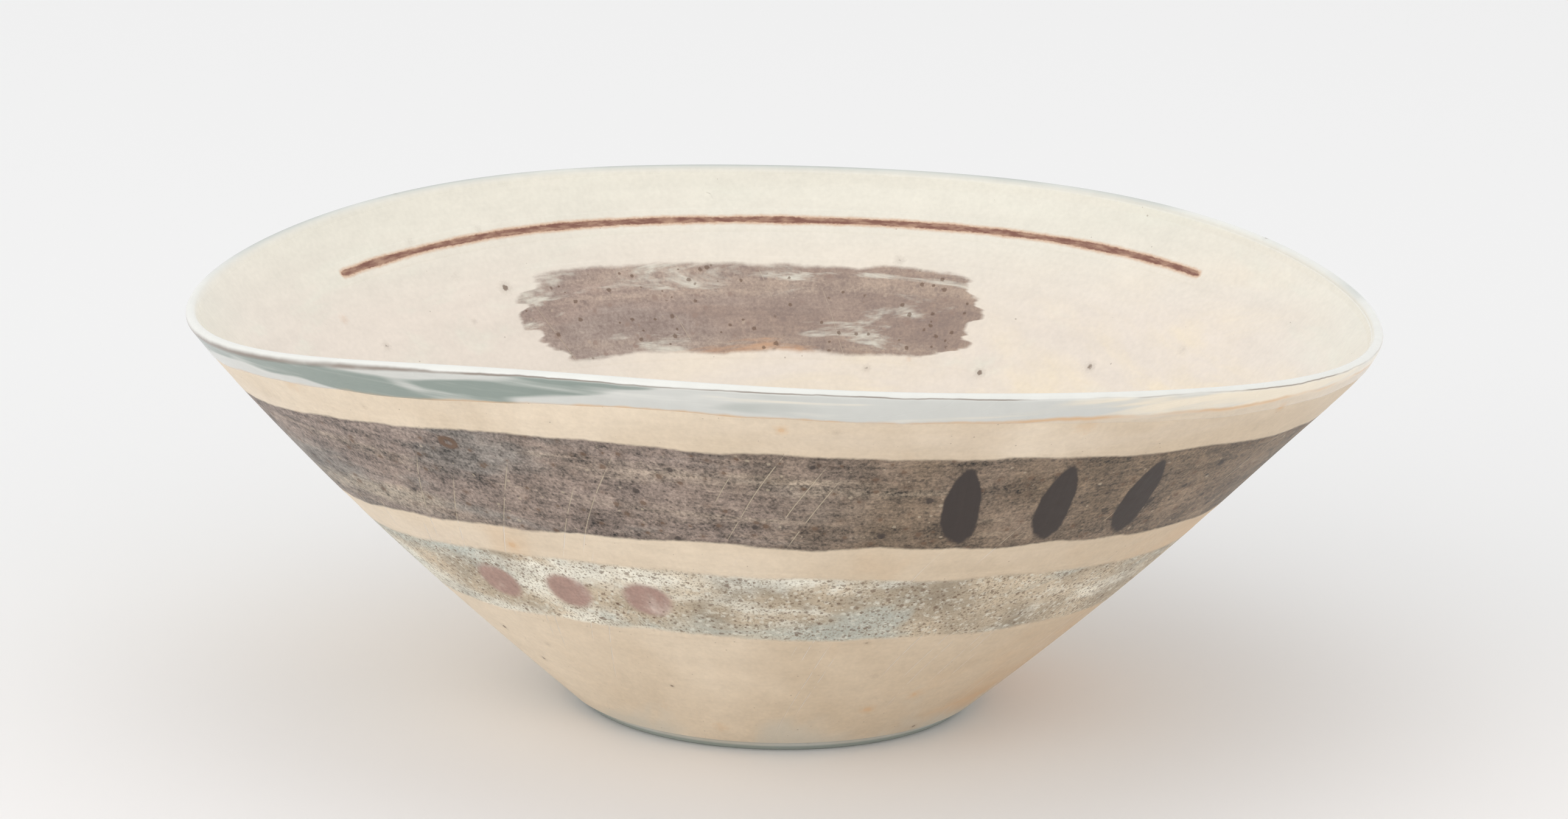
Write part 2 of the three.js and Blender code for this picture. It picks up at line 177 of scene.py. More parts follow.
class BowlBrushwork(bpy.types.PropertyGroup):
    """The bands, dabs, dots and line that are brushed on in coloured slips, and the rim's glaze."""

    grey_band_span: angle("Grey band span", "Where the grey band starts and ends", (168, 492))
    grey_band_share: share("Grey band height", "Share of the wall at the grey band's middle", 0.71)
    grey_band_width: length("Grey band width", "Width of the grey band", 34)
    sand_band_span: angle("Sand band span", "Where the sand band starts and ends", (172, 488))
    sand_band_share: share("Sand band height", "Share of the wall at the sand band's middle", 0.41)
    sand_band_width: length("Sand band width", "Width of the sand band", 24)
    arc_span: angle("Inside arc span", "Where the grey arc inside starts and ends", (62, 128))
    arc_share: share("Inside arc height", "Share of the wall at the arc's middle", 0.66)
    arc_width: length("Inside arc width", "Width of the grey arc inside", 26)
    line_span: angle("Iron line span", "Where the iron line inside starts and ends", (36, 150))
    line_share: share("Iron line height", "Share of the wall at the iron line", 0.86)
    line_width: length("Iron line width", "Width of the iron line with its halo", 2.4)
    dab_places: angle("Dark dabs", "Where the dark dabs are", (292, 304, 316, 94, 106, 118))
    dab_share: share("Dab height", "Share of the wall at the dabs' middles", 0.71)
    dab_width: length("Dab width", "Width of a dark dab", 9)
    dab_length: length("Dab length", "Length of a dark dab", 30)
    dab_lean: angle("Dab lean", "How far a dark dab leans", 8)
    dab_taper: share("Dab taper", "How much narrower a dark dab is at its top", 0.22)
    dot_places: angle("Pink dots", "Where the pink dots are", (222, 236, 250, 24, 38, 52))
    dot_share: share("Dot height", "Share of the wall at the dots' middles", 0.41)
    dot_width: length("Dot width", "Width of a pink dot", 12)
    film: length("Film", "How far a brushed slip stands over the coat", 0.06)
    sink: length("Sink", "How far the hidden edge of a brushed slip lies under the coat", 0.1)
    margin: length("Margin", "How far a stroke's mesh runs past its painted edge", 3.0)
    rim_outside: length("Rim glaze, outside", "How far the rim glaze runs down outside", 9.5)
    rim_inside: length("Rim glaze, inside", "How far the rim glaze runs down inside", 4.5)
    rim_wave: length("Rim glaze wave", "How wavy the rim glaze's lower edge is", 1.1)
    rim_bead: length("Rim glaze bead", "How far the rim glaze's lower edge swells", 0.12)


class BowlColours(bpy.types.PropertyGroup):
    """The fired colours of the clay, the slips and the glazes."""

    clay: colour("Clay", "Bare porcelain at the foot", 226, 217, 203)
    cream: colour("Cream slip", "Lighter ground outside", 234, 218, 195)
    tan: colour("Tan slip", "Deeper ground outside", 212, 193, 167)
    flash: colour("Flashing", "Orange blush where the kiln's flame passed", 219, 180, 136)
    speck: colour("Iron speck", "Small brown specks in the slips", 104, 78, 58)
    grey: colour("Grey slip", "Purple-grey end of the grey band", 142, 127, 118)
    olive: colour("Olive slip", "Olive-brown end of the grey band", 117, 100, 81)
    slate: colour("Slate slip", "Cooler passages of the grey band", 129, 124, 118)
    arc: colour("Arc wash", "Thin mauve wash of the arc inside", 192, 168, 158)
    sand: colour("Sand slip", "Speckled sandy band", 194, 179, 156)
    sand_grain: colour("Sand grain", "Fine dark grains in the sandy band", 146, 131, 111)
    cyan_tint: colour("Cyan tint", "Pale cyan where glaze lies over the slips", 193, 201, 194)
    dark: colour("Dark slip", "Charcoal dabs", 51, 42, 39)
    pink: colour("Pink slip", "Dusty pink dots", 172, 142, 131)
    iron: colour("Iron line", "Dark core of the iron line", 132, 88, 74)
    iron_halo: colour("Iron halo", "Orange halo of the iron line", 214, 168, 132)
    liner: colour("Liner", "Pinkish cream glaze inside", 238, 228, 217)
    liner_pale: colour("Pale liner", "Greenish white glaze near the lip", 238, 236, 223)
    # Lighter than the glaze's own peach, as painted light low inside
    liner_blush: colour("Liner blush", "Warm peach blush inside", 248, 234, 209)
    lip: colour("Lip", "Cream white on the lip", 236, 236, 230)
    rim_blue: colour("Rim glaze", "Pale blue-white glaze under the lip", 210, 211, 206)
    # Also painted along the foot's lowest edge as contact shadow
    rim_teal: colour("Rim teal", "Teal-grey where the rim glaze is thick", 140, 152, 145)
    foot_glaze: colour("Foot glaze", "Pale blue-grey glaze at the foot", 211, 206, 193)


class BowlStage(bpy.types.PropertyGroup):
    """The pale floor, the lamps and the camera."""

    # The floor in front of the bowl is lighter than behind it: painted light that lifts the bowl's shadow
    # there
    floor_near: colour("Floor, near", "Floor colour in front of the bowl", 249, 247, 246)
    floor_far: colour("Floor, far", "Floor colour behind the bowl", 243, 243, 243)
    floor_half: length("Floor reach", "How far the floor runs each way", 3000)
    backdrop: colour("Backdrop", "What the camera sees past the floor", 242, 242, 242)
    camera_distance: length("Camera distance", "From the camera to the bowl", 1600)
    camera_tilt: angle("Camera tilt", "How far the camera looks down", 15.08)
    camera_roll: angle("Camera roll", "How far the camera is turned about its view", 1.14)
    camera_target: length("Camera target", "The point that the camera looks at", (0.705, -1.03, 73.2))
    camera_lens: FloatProperty(
        name="Camera lens", description="Focal length", default=146.01, unit="CAMERA"
    )
    camera_sensor: FloatProperty(
        name="Camera sensor", description="Width of the sensor", default=36.0, unit="CAMERA"
    )
    sky_level: share("Sky level", "Strength of the even light from all round", 0.9)
    lamp_target: length("Lamp target", "The point that the lamps are turned to", (0, 0, 60))
    key_power: share("Key power", "Power of the lamp at the upper left, in watts", 1.6)
    fill_power: share("Fill power", "Power of the low lamp at the left, in watts", 4.6)
    low_power: share("Low power", "Power of the low lamp at the right, in watts", 2.2)
    top_power: share("Top power", "Power of the lamp overhead, in watts", 2.0)


# Node trees


# The first input and the output of a mix of each kind
MIXES = {"FLOAT": (2, 0), "VECTOR": (4, 1), "RGBA": (6, 2)}
SOCKETS = {
    "V": "NodeSocketVector",
    "F": "NodeSocketFloat",
    "C": "NodeSocketColor",
    "I": "NodeSocketInt",
    "G": "NodeSocketGeometry",
    "O": "NodeSocketObject",
    "M": "NodeSocketMaterial",
}


def plain_name(label):
    """A socket's label as a name in this script, which label_of turns back."""
    return label.lower().replace(" ", "_")


def label_of(name):
    return name.replace("_", " ").title()


def kind_of(value):
    """Whether a value is a number, a vector or a colour."""
    if isinstance(value, Wire):
        return value.socket.type if value.socket.type in MIXES else "FLOAT"
    if not hasattr(value, "__len__"):
        return "FLOAT"
    return "RGBA" if len(value) == 4 else "VECTOR"


def sign(operation, turned=False):
    """What a sign between a wire and a value does: it puts in a node, with the two turned or not."""

    def work_out(wire, other):
        pair = (other, wire) if turned else (wire, other)
        return wire.bench.maths(operation, *pair)

    return work_out


class Wire:
    """What runs out of a node's socket. Sums and products of it are nodes too."""

    def __init__(self, bench, socket):
        self.bench = bench
        self.socket = socket

    __add__ = sign("ADD")
    __radd__ = sign("ADD", turned=True)
    __sub__ = sign("SUBTRACT")
    __rsub__ = sign("SUBTRACT", turned=True)
    __mul__ = sign("MULTIPLY")
    __truediv__ = sign("DIVIDE")
    __rtruediv__ = sign("DIVIDE", turned=True)
    __pow__ = sign("POWER")

    def __abs__(self):
        return self.bench.maths("ABSOLUTE", self)

    def split(self):
        """The x, y and z of a vector."""
        return self.bench.outputs("ShaderNodeSeparateXYZ", {"Vector": self})

    def swing(self, strength):
        """A wave from 0 to 1 as a swing either side of nothing."""
        return (self - 0.5) * strength

    def rise(self, low, high, bottom=0.0, top=1.0):
        """From the bottom to the top, smoothly, as the value goes from low to high."""
        inputs = (self, low, high, bottom, top)
        return self.bench.take("ShaderNodeMapRange", inputs, interpolation_type="SMOOTHSTEP")

    def noise(self, scale, detail=3.0, roughness=0.5, distortion=0.0):
        """Noise at this vector, on one scale or on one for each axis."""
        drawn_out = isinstance(scale, tuple)
        inputs = {
            "Vector": self * scale if drawn_out else self,
            "Scale": 1.0 if drawn_out else scale,
            "Detail": detail,
            "Roughness": roughness,
            "Distortion": distortion,
        }
        return self.bench.take("ShaderNodeTexNoise", inputs)

    def through(self, kind, data_type=None, **inputs):
        """This geometry behind another node of this kind."""
        traits = {"data_type": data_type} if data_type else {}
        return self.bench.take("GeometryNode" + kind, {"Geometry": self, **inputs}, **traits)


class Bench:
    """Puts nodes in one tree and joins them up."""

    def __init__(self, tree):
        self.tree = tree

    def plug(self, socket, value):
        if isinstance(value, Wire):
            self.tree.links.new(value.socket, socket)
        else:
            socket.default_value = value

    def put(self, kind, inputs=(), **traits):
        """A new node, with its inputs by name or number, or in their order."""
        node = self.tree.nodes.new(kind)
        for trait, value in traits.items():
            setattr(node, trait, value)
        for key, value in inputs.items() if isinstance(inputs, dict) else enumerate(inputs):
            self.plug(node.inputs[key], value)
        return node

    def take(self, kind, inputs=(), output=0, **traits):
        """What runs out of one output of a new node."""
        return Wire(self, self.put(kind, inputs, **traits).outputs[output])

    def outputs(self, kind, inputs=(), **traits):
        """All that runs out of a new node, by name."""
        node = self.put(kind, inputs, **traits)
        return SimpleNamespace(**{plain_name(socket.name): Wire(self, socket) for socket in node.outputs})

    def maths(self, operation, *values):
        """A sum on numbers, or on vectors. A vector is multiplied by a number or by a vector."""
        if kind_of(values[0]) != "VECTOR":
            return self.take("ShaderNodeMath", values, operation=operation)
        if operation == "MULTIPLY" and kind_of(values[1]) == "FLOAT":
            values = (values[0], self.combine(*[values[1]] * 3))
        output = 1 if operation == "LENGTH" else 0
        return self.take("ShaderNodeVectorMath", values, output, operation=operation)

    def combine(self, *parts):
        return self.take("ShaderNodeCombineXYZ", parts)

    def mix(self, factor, first, second, **traits):
        """The first number, vector or colour turned into the second by a factor."""
        kind = kind_of(first)
        start, output = MIXES[kind]
        inputs = {0: factor, start: first, start + 1: second}
        return self.take("ShaderNodeMix", inputs, output, data_type=kind, **traits)

    def group(self, tree, **inputs):
        kind = "ShaderNodeGroup" if tree.bl_idname == "ShaderNodeTree" else "GeometryNodeGroup"
        inputs = {label_of(name): value for name, value in inputs.items()}
        return self.outputs(kind, inputs, node_tree=tree)

    def painted(self, name):
        """What a finished mesh says at a point, for a material."""
        return self.take("ShaderNodeAttribute", output="Fac", attribute_name=name)

    def named(self, name, data_type="FLOAT"):
        """What a pattern says at a point, for a tree that lays it."""
        return self.take("GeometryNodeInputNamedAttribute", {"Name": name}, data_type=data_type)

    def give(self, *results):
        """Sends the results out of the tree, in the order of its outputs."""
        self.put("NodeGroupOutput", results)
        return self.tree


def new_tree(kind, name, inputs, outputs):
    """The bench of a new node tree, and what is given to it."""
    tree = bpy.data.node_groups.new(name, kind)
    for way, sockets in (("INPUT", inputs), ("OUTPUT", outputs)):
        for letter, names in sockets.items():
            for item in names:
                label = label_of(item)
                tree.interface.new_socket(name=label, in_out=way, socket_type=SOCKETS[letter])
    bench = Bench(tree)
    return bench, bench.outputs("NodeGroupInput")


# Geometry Nodes: the wall lofted from its round foot to its lip, and what lies on it

LOFT_SIZES = (
    "base_radius",
    "base_height",
    "wall_fullness",
    "upright_right",
    "upright_left",
    "upright_sharpness",
)
WALL_SIZES = (*LOFT_SIZES, "lip_thickness", "base_thickness", "thickness_fall")


def ring_point(bench, given, place):
    """A point of a level ring round the foot's axis."""
    turned = bench.combine(bench.maths("COSINE", place), bench.maths("SINE", place), 0.0)
    return turned * given.radius + bench.combine(0.0, 0.0, given.height) + given.centre


def wall_point_tree():
    """A point of the finished outside: how far out it is from the foot's circle to the lip's line."""
    bench, given = new_tree(
        "GeometryNodeTree",
        "Point on the Wall",
        {"G": ["lip_line"], "V": ["centre"], "F": ["place", "share", *LOFT_SIZES]},
        {"V": ["point"]},
    )
    steps = given.place * (LIP_POINTS / TURN)
    spot = bench.take("GeometryNodeInputPosition")
    nearest = []
    for offset in (0, 1):
        index = bench.maths("FLOORED_MODULO", bench.maths("FLOOR", steps) + offset, LIP_POINTS)
        inputs = {"Geometry": given.lip_line, "Value": spot, "Index": index}
        nearest.append(bench.take("GeometryNodeSampleIndex", inputs, data_type="FLOAT_VECTOR"))
    lip = bench.mix(bench.maths("FRACT", steps), *nearest)
    ring = SimpleNamespace(radius=given.base_radius, height=given.base_height, centre=given.centre)
    base = ring_point(bench, ring, given.place)
    reach = lip - base
    run = bench.maths("LENGTH", reach * (1.0, 1.0, 0.0))
    to_the_right = bench.maths("COSINE", given.place) * 0.5 + 0.5
    upright = bench.mix(to_the_right, given.upright_left, given.upright_right)
    sharpness = given.upright_sharpness
    peak = sharpness / (sharpness + 1)
    left = 1 - given.share
    hump = given.share**sharpness * left
    highest = peak**sharpness * (1 - peak)
    turn = upright * hump / (highest * run)
    belly = given.share * left * given.wall_fullness
    outward = given.share + belly + turn
    return bench.give(base + reach * bench.combine(outward, outward, given.share))


def wall_frame_tree(wall_point):
    """A point of the wall, the slope up it, the direction into it, and how thick it is there."""
    bench, given = new_tree(
        "GeometryNodeTree",
        "Frame on the Wall",
        {"G": ["lip_line"], "V": ["centre"], "F": ["place", "share", *WALL_SIZES]},
        {"V": ["point", "upward", "into"], "F": ["thickness"]},
    )
    place_step = 0.01
    share_step = 0.001

    def point(place_shift, share_shift):
        inputs = {key: getattr(given, key) for key in ("lip_line", "centre", *LOFT_SIZES)}
        inputs.update(place=given.place + place_shift, share=given.share + share_shift)
        return bench.group(wall_point, **inputs).point

    rise = point(0.0, share_step) - point(0.0, -share_step)
    around = point(place_step, 0.0) - point(-place_step, 0.0)
    into = bench.maths("NORMALIZE", bench.maths("CROSS_PRODUCT", rise, around))
    fall = bench.maths("MAXIMUM", 1 - given.share, 0.0) ** given.thickness_fall
    thickness = bench.mix(fall, given.lip_thickness, given.base_thickness)
    return bench.give(point(0.0, 0.0), rise * (0.5 / share_step), into, thickness)


# What each point of a flat pattern says: its place round the bowl; which part of the way up it lies,
# and how far below the lip that way ends; which side of the wall, how deep under it and how far past
# it; how far round the bend from the floor; and for the floor and foot, its radius and height
PATTERN = {
    "place": 0.0,
    "part": 1.0,
    "below": 0.0,
    "side": 0.0,
    "depth": 0.0,
    "rise": 0.0,
    "bend": 1.0,
    "radius": 0.0,
    "height": 0.0,
}
OUTSIDE = 0.0
INSIDE = 1.0


@cache
def laying_tree():
    """Lays a flat pattern on the bowl: the loft of the wall, the bend at its foot, and the floor."""
    wall_frame = wall_frame_tree(wall_point_tree())
    bench, given = new_tree(
        "GeometryNodeTree",
        "Laid on the Bowl",
        {
            "G": ["pattern"],
            "O": ["lip_line"],
            "V": ["centre"],
            "F": [*WALL_SIZES, "knee_share", "anchor", "gauge", "weld"],
            "M": ["material"],
        },
        {"G": ["piece"]},
    )
    said = SimpleNamespace(**{key: bench.named(key) for key in PATTERN}, centre=given.centre)
    lip_line = bench.take("GeometryNodeObjectInfo", {"Object": given.lip_line}, "Geometry")

    def frame_at(share):
        inputs = {key: getattr(given, key) for key in ("centre", *WALL_SIZES)}
        return bench.group(wall_frame, lip_line=lip_line, place=said.place, share=share, **inputs)

    def under(spot, depth):
        """A point this deep under the wall's outside, or under its inside."""
        return spot.point + spot.into * bench.mix(said.side, depth, spot.thickness - depth)

    gauge = bench.maths("LENGTH", frame_at(given.gauge).upward)
    high = given.anchor - said.below / gauge
    wall = frame_at(bench.mix(said.part, said.side * given.knee_share, high))
    upward = bench.maths("NORMALIZE", wall.upward)
    on_wall = under(wall, said.depth) + upward * said.rise

    floor = ring_point(bench, said, said.place)
    knee = frame_at(given.knee_share)
    knee_end = under(knee, said.depth)
    drop = (floor - knee_end).split().z / knee.upward.split().z
    corner = knee_end + knee.upward * drop
    near_floor = bench.mix(said.bend, floor, corner)
    near_wall = bench.mix(said.bend, corner, knee_end)
    in_bend = bench.mix(said.bend, near_floor, near_wall)
    position = bench.mix(bench.maths("LESS_THAN", said.bend, 1.0), on_wall, in_bend)

    piece = given.pattern.through("SetPosition", Position=position)
    for name, value in (("outward", wall.into * -1), ("upward", upward)):
        piece = piece.through("StoreNamedAttribute", "FLOAT_VECTOR", Name=name, Value=value)
    piece = piece.through("MergeByDistance", Distance=given.weld).through("RealizeInstances")
    return bench.give(piece.through("SetMaterial", Material=given.material))


@cache
def marks_tree():
    """An oval film of slip on each anchor, laid on the coat and sunk into it round its edge."""
    bench, given = new_tree(
        "GeometryNodeTree",
        "Marks on the Coat",
        {
            "G": ["anchors"],
            "O": ["coat"],
            "F": ["width", "length", "margin", "lean", "taper", "film", "sink"],
            "I": ["columns", "rows"],
            "M": ["material"],
        },
        {"G": ["marks"]},
    )
    place = bench.take("GeometryNodeInputPosition")
    inputs = {"Size X": 2.0, "Size Y": 2.0, "Vertices X": given.columns, "Vertices Y": given.rows}
    grid = bench.take("GeometryNodeMeshGrid", inputs, "Mesh")

    def rounded(value, other):
        """A coordinate of a square, drawn in so that the square turns into a disc."""
        return value * bench.maths("SQRT", other * other * -0.5 + 1)

    def half(size):
        return size * 0.5 + given.margin

    at = place.split()
    x, y = (bench.maths("SINE", axis * (math.pi / 2)) for axis in (at.x, at.y))
    flat = bench.combine(rounded(x, y) * half(given.width), rounded(y, x) * half(given.length), 0.0)
    disc = grid.through("SetPosition", Position=flat)

    half_length = given.length * 0.5
    half_width = given.width * 0.5
    long_part = at.y / half_length
    wide_part = at.x / (half_width * (1 - long_part * given.taper))
    from_middle = bench.maths("LENGTH", bench.combine(wide_part, long_part, 0.0))
    border = bench.combine(at.x / half(given.width), at.y / half(given.length), 0.0)
    values = {
        "along": at.y,
        "across": at.x,
        "edge": (1 - from_middle) * half_width,
        "tip": half_length,
        "border": bench.maths("LENGTH", border),
    }
    for name, value in values.items():
        disc = disc.through("StoreNamedAttribute", "FLOAT", Name=name, Value=value)

    outward, upward = (bench.named(name, "FLOAT_VECTOR") for name in ("outward", "upward"))
    inputs = {"Primary Axis": outward, "Secondary Axis": upward}
    turned = bench.take("FunctionNodeAxesToRotation", inputs, primary_axis="Z", secondary_axis="Y")
    inputs = {"Axis": (0.0, 0.0, 1.0), "Angle": given.lean}
    leaning = bench.take("FunctionNodeAxisAngleToRotation", inputs)
    inputs = {"Rotation": turned, "Rotate By": leaning}
    rotation = bench.take("FunctionNodeRotateRotation", inputs, rotation_space="LOCAL")
    inputs = {"Points": given.anchors, "Instance": disc, "Rotation": rotation}
    discs = bench.take("GeometryNodeInstanceOnPoints", inputs).through("RealizeInstances")

    coat = bench.take("GeometryNodeObjectInfo", {"Object": given.coat}, "Geometry")
    inward = bench.take("GeometryNodeInputNormal") * -1
    inputs = {"Target Geometry": coat, "Ray Direction": inward, "Ray Length": COAT_REACH}
    ray = bench.outputs("GeometryNodeRaycast", inputs)
    lift = bench.named("border").rise(FILM_START, FILM_FULL) * (given.film + given.sink) - given.sink

    def laid(height):
        return discs.through("SetPosition", Position=ray.hit_position + ray.hit_normal * height)

    under = bench.take("GeometryNodeFlipFaces", {"Mesh": laid(given.sink * -1)})
    joined = bench.put("GeometryNodeJoinGeometry")
    for half_skin in (laid(lift), under):
        bench.plug(joined.inputs[0], half_skin)
    skins = Wire(bench, joined.outputs[0]).through("MergeByDistance", Distance=SEAM)
    return bench.give(skins.through("RealizeInstances").through("SetMaterial", Material=given.material))


def run_tree(name, start, tree, inputs):
    """Runs a tree on a mesh, and gives back what it makes as a plain mesh object."""
    holder = bpy.data.objects.new(name + "_start", start)
    bpy.context.scene.collection.objects.link(holder)
    modifier = holder.modifiers.new(name, "NODES")
    modifier.node_group = tree
    for item in tree.interface.items_tree:
        if item.in_out == "INPUT" and plain_name(item.name) in inputs:
            modifier[item.identifier] = inputs[plain_name(item.name)]
    bpy.context.view_layer.update()
    seen = holder.evaluated_get(bpy.context.evaluated_depsgraph_get())
    mesh = bpy.data.meshes.new_from_object(seen)
    holder.modifiers.clear()
    bpy.data.objects.remove(holder)
    bpy.data.meshes.remove(start)
    piece = bpy.data.objects.new(name, mesh)
    bpy.context.scene.collection.objects.link(piece)
    return piece


def finish_mesh(mesh):
    """Turns the faces outwards, smooths all but the sharp edges, and drops what no material reads."""
    mesh.calc_loop_triangles()
    points = np.empty(len(mesh.vertices) * 3, dtype=np.float32)
    mesh.vertices.foreach_get("co", points)
    triangles = np.empty(len(mesh.loop_triangles) * 3, dtype=np.int32)
    mesh.loop_triangles.foreach_get("vertices", triangles)
    corners = points.reshape(-1, 3).astype(float)[triangles.reshape(-1, 3)]
    volume = np.einsum("ij,ij->i", corners[:, 0], np.cross(corners[:, 1], corners[:, 2])).sum()
    if volume < 0:
        mesh.flip_normals()
    mesh.shade_smooth()
    mesh.set_sharp_from_angle(angle=SHARP)
    for name in (*PATTERN, "outward", "upward", "border"):
        if name in mesh.attributes:
            mesh.attributes.remove(mesh.attributes[name])


# Shader groups


def shader_tree(name, inputs, outputs):
    """The bench of a new shader group, which stands at the group's own vector, and what it is given."""
    bench, given = new_tree("ShaderNodeTree", name, inputs, outputs)
    bench.place = getattr(given, "vector", None)
    return bench, given


@cache
def speck_group():
    """Sparse round specks with a soft halo, cut from a field of scattered grains."""
    inputs = {"V": ["vector"], "F": ["spacing", "size", "amount"]}
    bench, given = shader_tree("Iron Specks", inputs, {"F": ["core", "halo"]})
    inputs = {"Vector": bench.place, "Scale": 1 / given.spacing}
    cells = bench.outputs("ShaderNodeTexVoronoi", inputs)
    chance = bench.outputs("ShaderNodeSeparateColor", {"Color": cells.color})
    present = bench.maths("LESS_THAN", chance.red, given.amount)
    radius = given.size / given.spacing * (chance.green * 0.6 + 0.4)
    distance = cells.distance * (bench.place.noise(1.5 / given.size, detail=1) + 0.5)
    inner = radius * 0.55
    return bench.give(distance.rise(radius, inner) * present, distance.rise(radius * 2.6, inner) * present)


@cache
def brush_group():
    """Where a brushed stroke covers the ground: a swaying edge, and bristle marks at its tips."""
    inputs = {"F": ["along", "across", "edge", "tip", "wobble", "softness", "dryness"]}
    bench, given = shader_tree("Brushed Edge", inputs, {"F": ["cover", "rim"]})
    flat = bench.combine(given.along, given.across, 0.0)
    slow = flat.noise((38, 60, 1), detail=2).swing(4.4)
    quick = flat.noise((420, 520, 1), roughness=0.6).swing(0.8)
    edge = (slow + quick) * given.wobble + given.edge
    gaps = flat.noise((34, 170, 1)).rise(0.4, 0.66) * given.tip.rise(0.02, 0)
    edge = edge - gaps * given.dryness
    half = given.softness * 0.5
    return bench.give(edge.rise(half * -1, half), edge.rise(0.0018, 0))


@cache
def hairline_group():
    """Fine pale scratches in loose clusters, near-parallel, that slant up to the right."""
    inputs = {"V": ["vector"], "F": ["number_around", "slant", "width"]}
    bench, given = shader_tree("Hairlines", inputs, {"F": ["line"]})
    place = bench.place
    at = place.split()
    turns = bench.maths("ARCTAN2", at.x, at.y * -1) / TURN * given.number_around
    across = turns - at.z * given.slant + place.noise(14, detail=2).swing(1.6)
    number = bench.maths("FLOORED_MODULO", bench.maths("FLOOR", across), given.number_around)
    pick = bench.outputs("ShaderNodeTexWhiteNoise", {"W": number}, noise_dimensions="1D")
    chance = bench.outputs("ShaderNodeSeparateColor", {"Color": pick.color})
    middle = chance.red * 0.6 + 0.2
    line = abs(bench.maths("FRACT", across) - middle).rise(given.width, given.width * 0.3)
    start = chance.green * 0.075 + 0.012
    reach = chance.blue * 0.014 + 0.004
    drawn = abs(at.z - start).rise(reach, reach * 0.6)
    broken = place.noise(260, detail=2).rise(0.34, 0.46)
    cluster = place.noise(17, detail=1).rise(0.44, 0.56)
    some = bench.maths("LESS_THAN", pick.value, 0.75) * cluster
    return bench.give(line * drawn * (broken * some))


def shaded(bench, base, *waves):
    """A colour made lighter and darker by waves, each with how strongly it acts."""
    level = 1.0
    for wave, strength in waves:
        level = level + wave.swing(strength)
    return bench.mix(1.0, base, bench.combine(level, level, level), blend_type="MULTIPLY")


def speckled(bench, base, *fields):
    """A colour with fields of specks over it. Each has its tint, the spacing and largest size in
    metres, the share of places that have a speck, and how strong the specks and their halos are."""
    for tint, spacing, size, amount, strength, halo in fields:
        inputs = {"vector": bench.place, "spacing": spacing, "size": size, "amount": amount}
        found = bench.group(speck_group(), **inputs)
        if halo:
            base = bench.mix(found.halo * halo, base, tint)
        base = bench.mix(found.core * strength, base, tint)
    return base


def scratched(bench, base, tint):
    """A colour with the fine scratches over it, and where they are."""
    inputs = {"vector": bench.place, "number_around": 150.0, "slant": 115.0, "width": 0.05}
    line = bench.group(hairline_group(), **inputs).line
    return bench.mix(line * 0.75, base, tint), line


def blistered(bench, base, tint):
    """A colour with the brown ring of a burst glaze bubble, at the upper left in front, and the ring."""
    spot = (-0.0785, -0.0925, 0.0885)
    radius = 0.0017
    away = bench.maths("LENGTH", (bench.place - spot) * (0.8, 0.8, 1.15))
    away = away + bench.place.noise(700).swing(0.0006)
    ring = abs(away - radius).rise(0.001, 0.0003)
    return bench.mix(ring * 0.9, base, tint), ring


def finish_group(name, *tints):
    """A group that gives a finish its colour, roughness and height. Its tints are named as the
    colours of the settings are."""
    return shader_tree(name, {"V": ["vector"], "C": tints}, {"C": ["color"], "F": ["roughness", "height"]})


@cache
def outside_group():
    """The cream and tan slip outside: soft patches, kiln flashing, specks and pale hairlines."""
    tints = ("cream", "tan", "flash", "speck", "liner", "foot_glaze")
    bench, given = finish_group("Outside Ground", *tints)
    place = bench.place
    at = place.split()
    patches = place.noise(16, roughness=0.55, distortion=0.6)
    base = bench.mix((at.x * 1.8 + patches).rise(0.22, 0.8), given.cream, given.tan)
    wash = place.noise((9, 9, 34), detail=4, roughness=0.6, distortion=0.4)
    base = bench.mix(wash.rise(0.5, 0.74, top=0.2), base, given.liner)
    streaks = place.noise((26, 26, 230), detail=5, roughness=0.65)
    mottle = place.noise(210, detail=4, roughness=0.62)
    grain = place.noise(900, detail=2)
    base = shaded(bench, base, (streaks, 0.2), (mottle, 0.2), (grain, 0.16))
    flame = place.noise((30, 30, 45), distortion=0.8).swing(0.07)
    toward = at.x - (at.z * 0.8 + 0.034)
    blush = (toward + flame).rise(0, 0.03, top=0.75) * at.z.rise(0.085, 0.03)
    warm = place.noise(21, roughness=0.6, distortion=0.6).rise(0.58, 0.78, top=0.28)
    base = bench.mix(bench.maths("MAXIMUM", blush, warm), base, given.flash)
    pool = at.z + place.noise((40, 40, 12), distortion=0.5).swing(-0.05)
    base = bench.mix(pool.rise(0.0095, 0.002, top=0.6), base, given.foot_glaze)
    base = speckled(
        bench,
        base,
        (given.speck, 0.010, 0.0008, 0.5, 0.75, 0.16),
        (given.flash, 0.017, 0.0018, 0.4, 0.5, 0.35),
        (given.speck, 0.0026, 0.00028, 0.5, 0.4, 0.0),
    )
    base, line = scratched(bench, base, given.liner)
    height = line * -1.2 + (streaks * 1.6 + (mottle * 0.6 + grain))
    return bench.give(base, patches * 0.16 + 0.42, height)


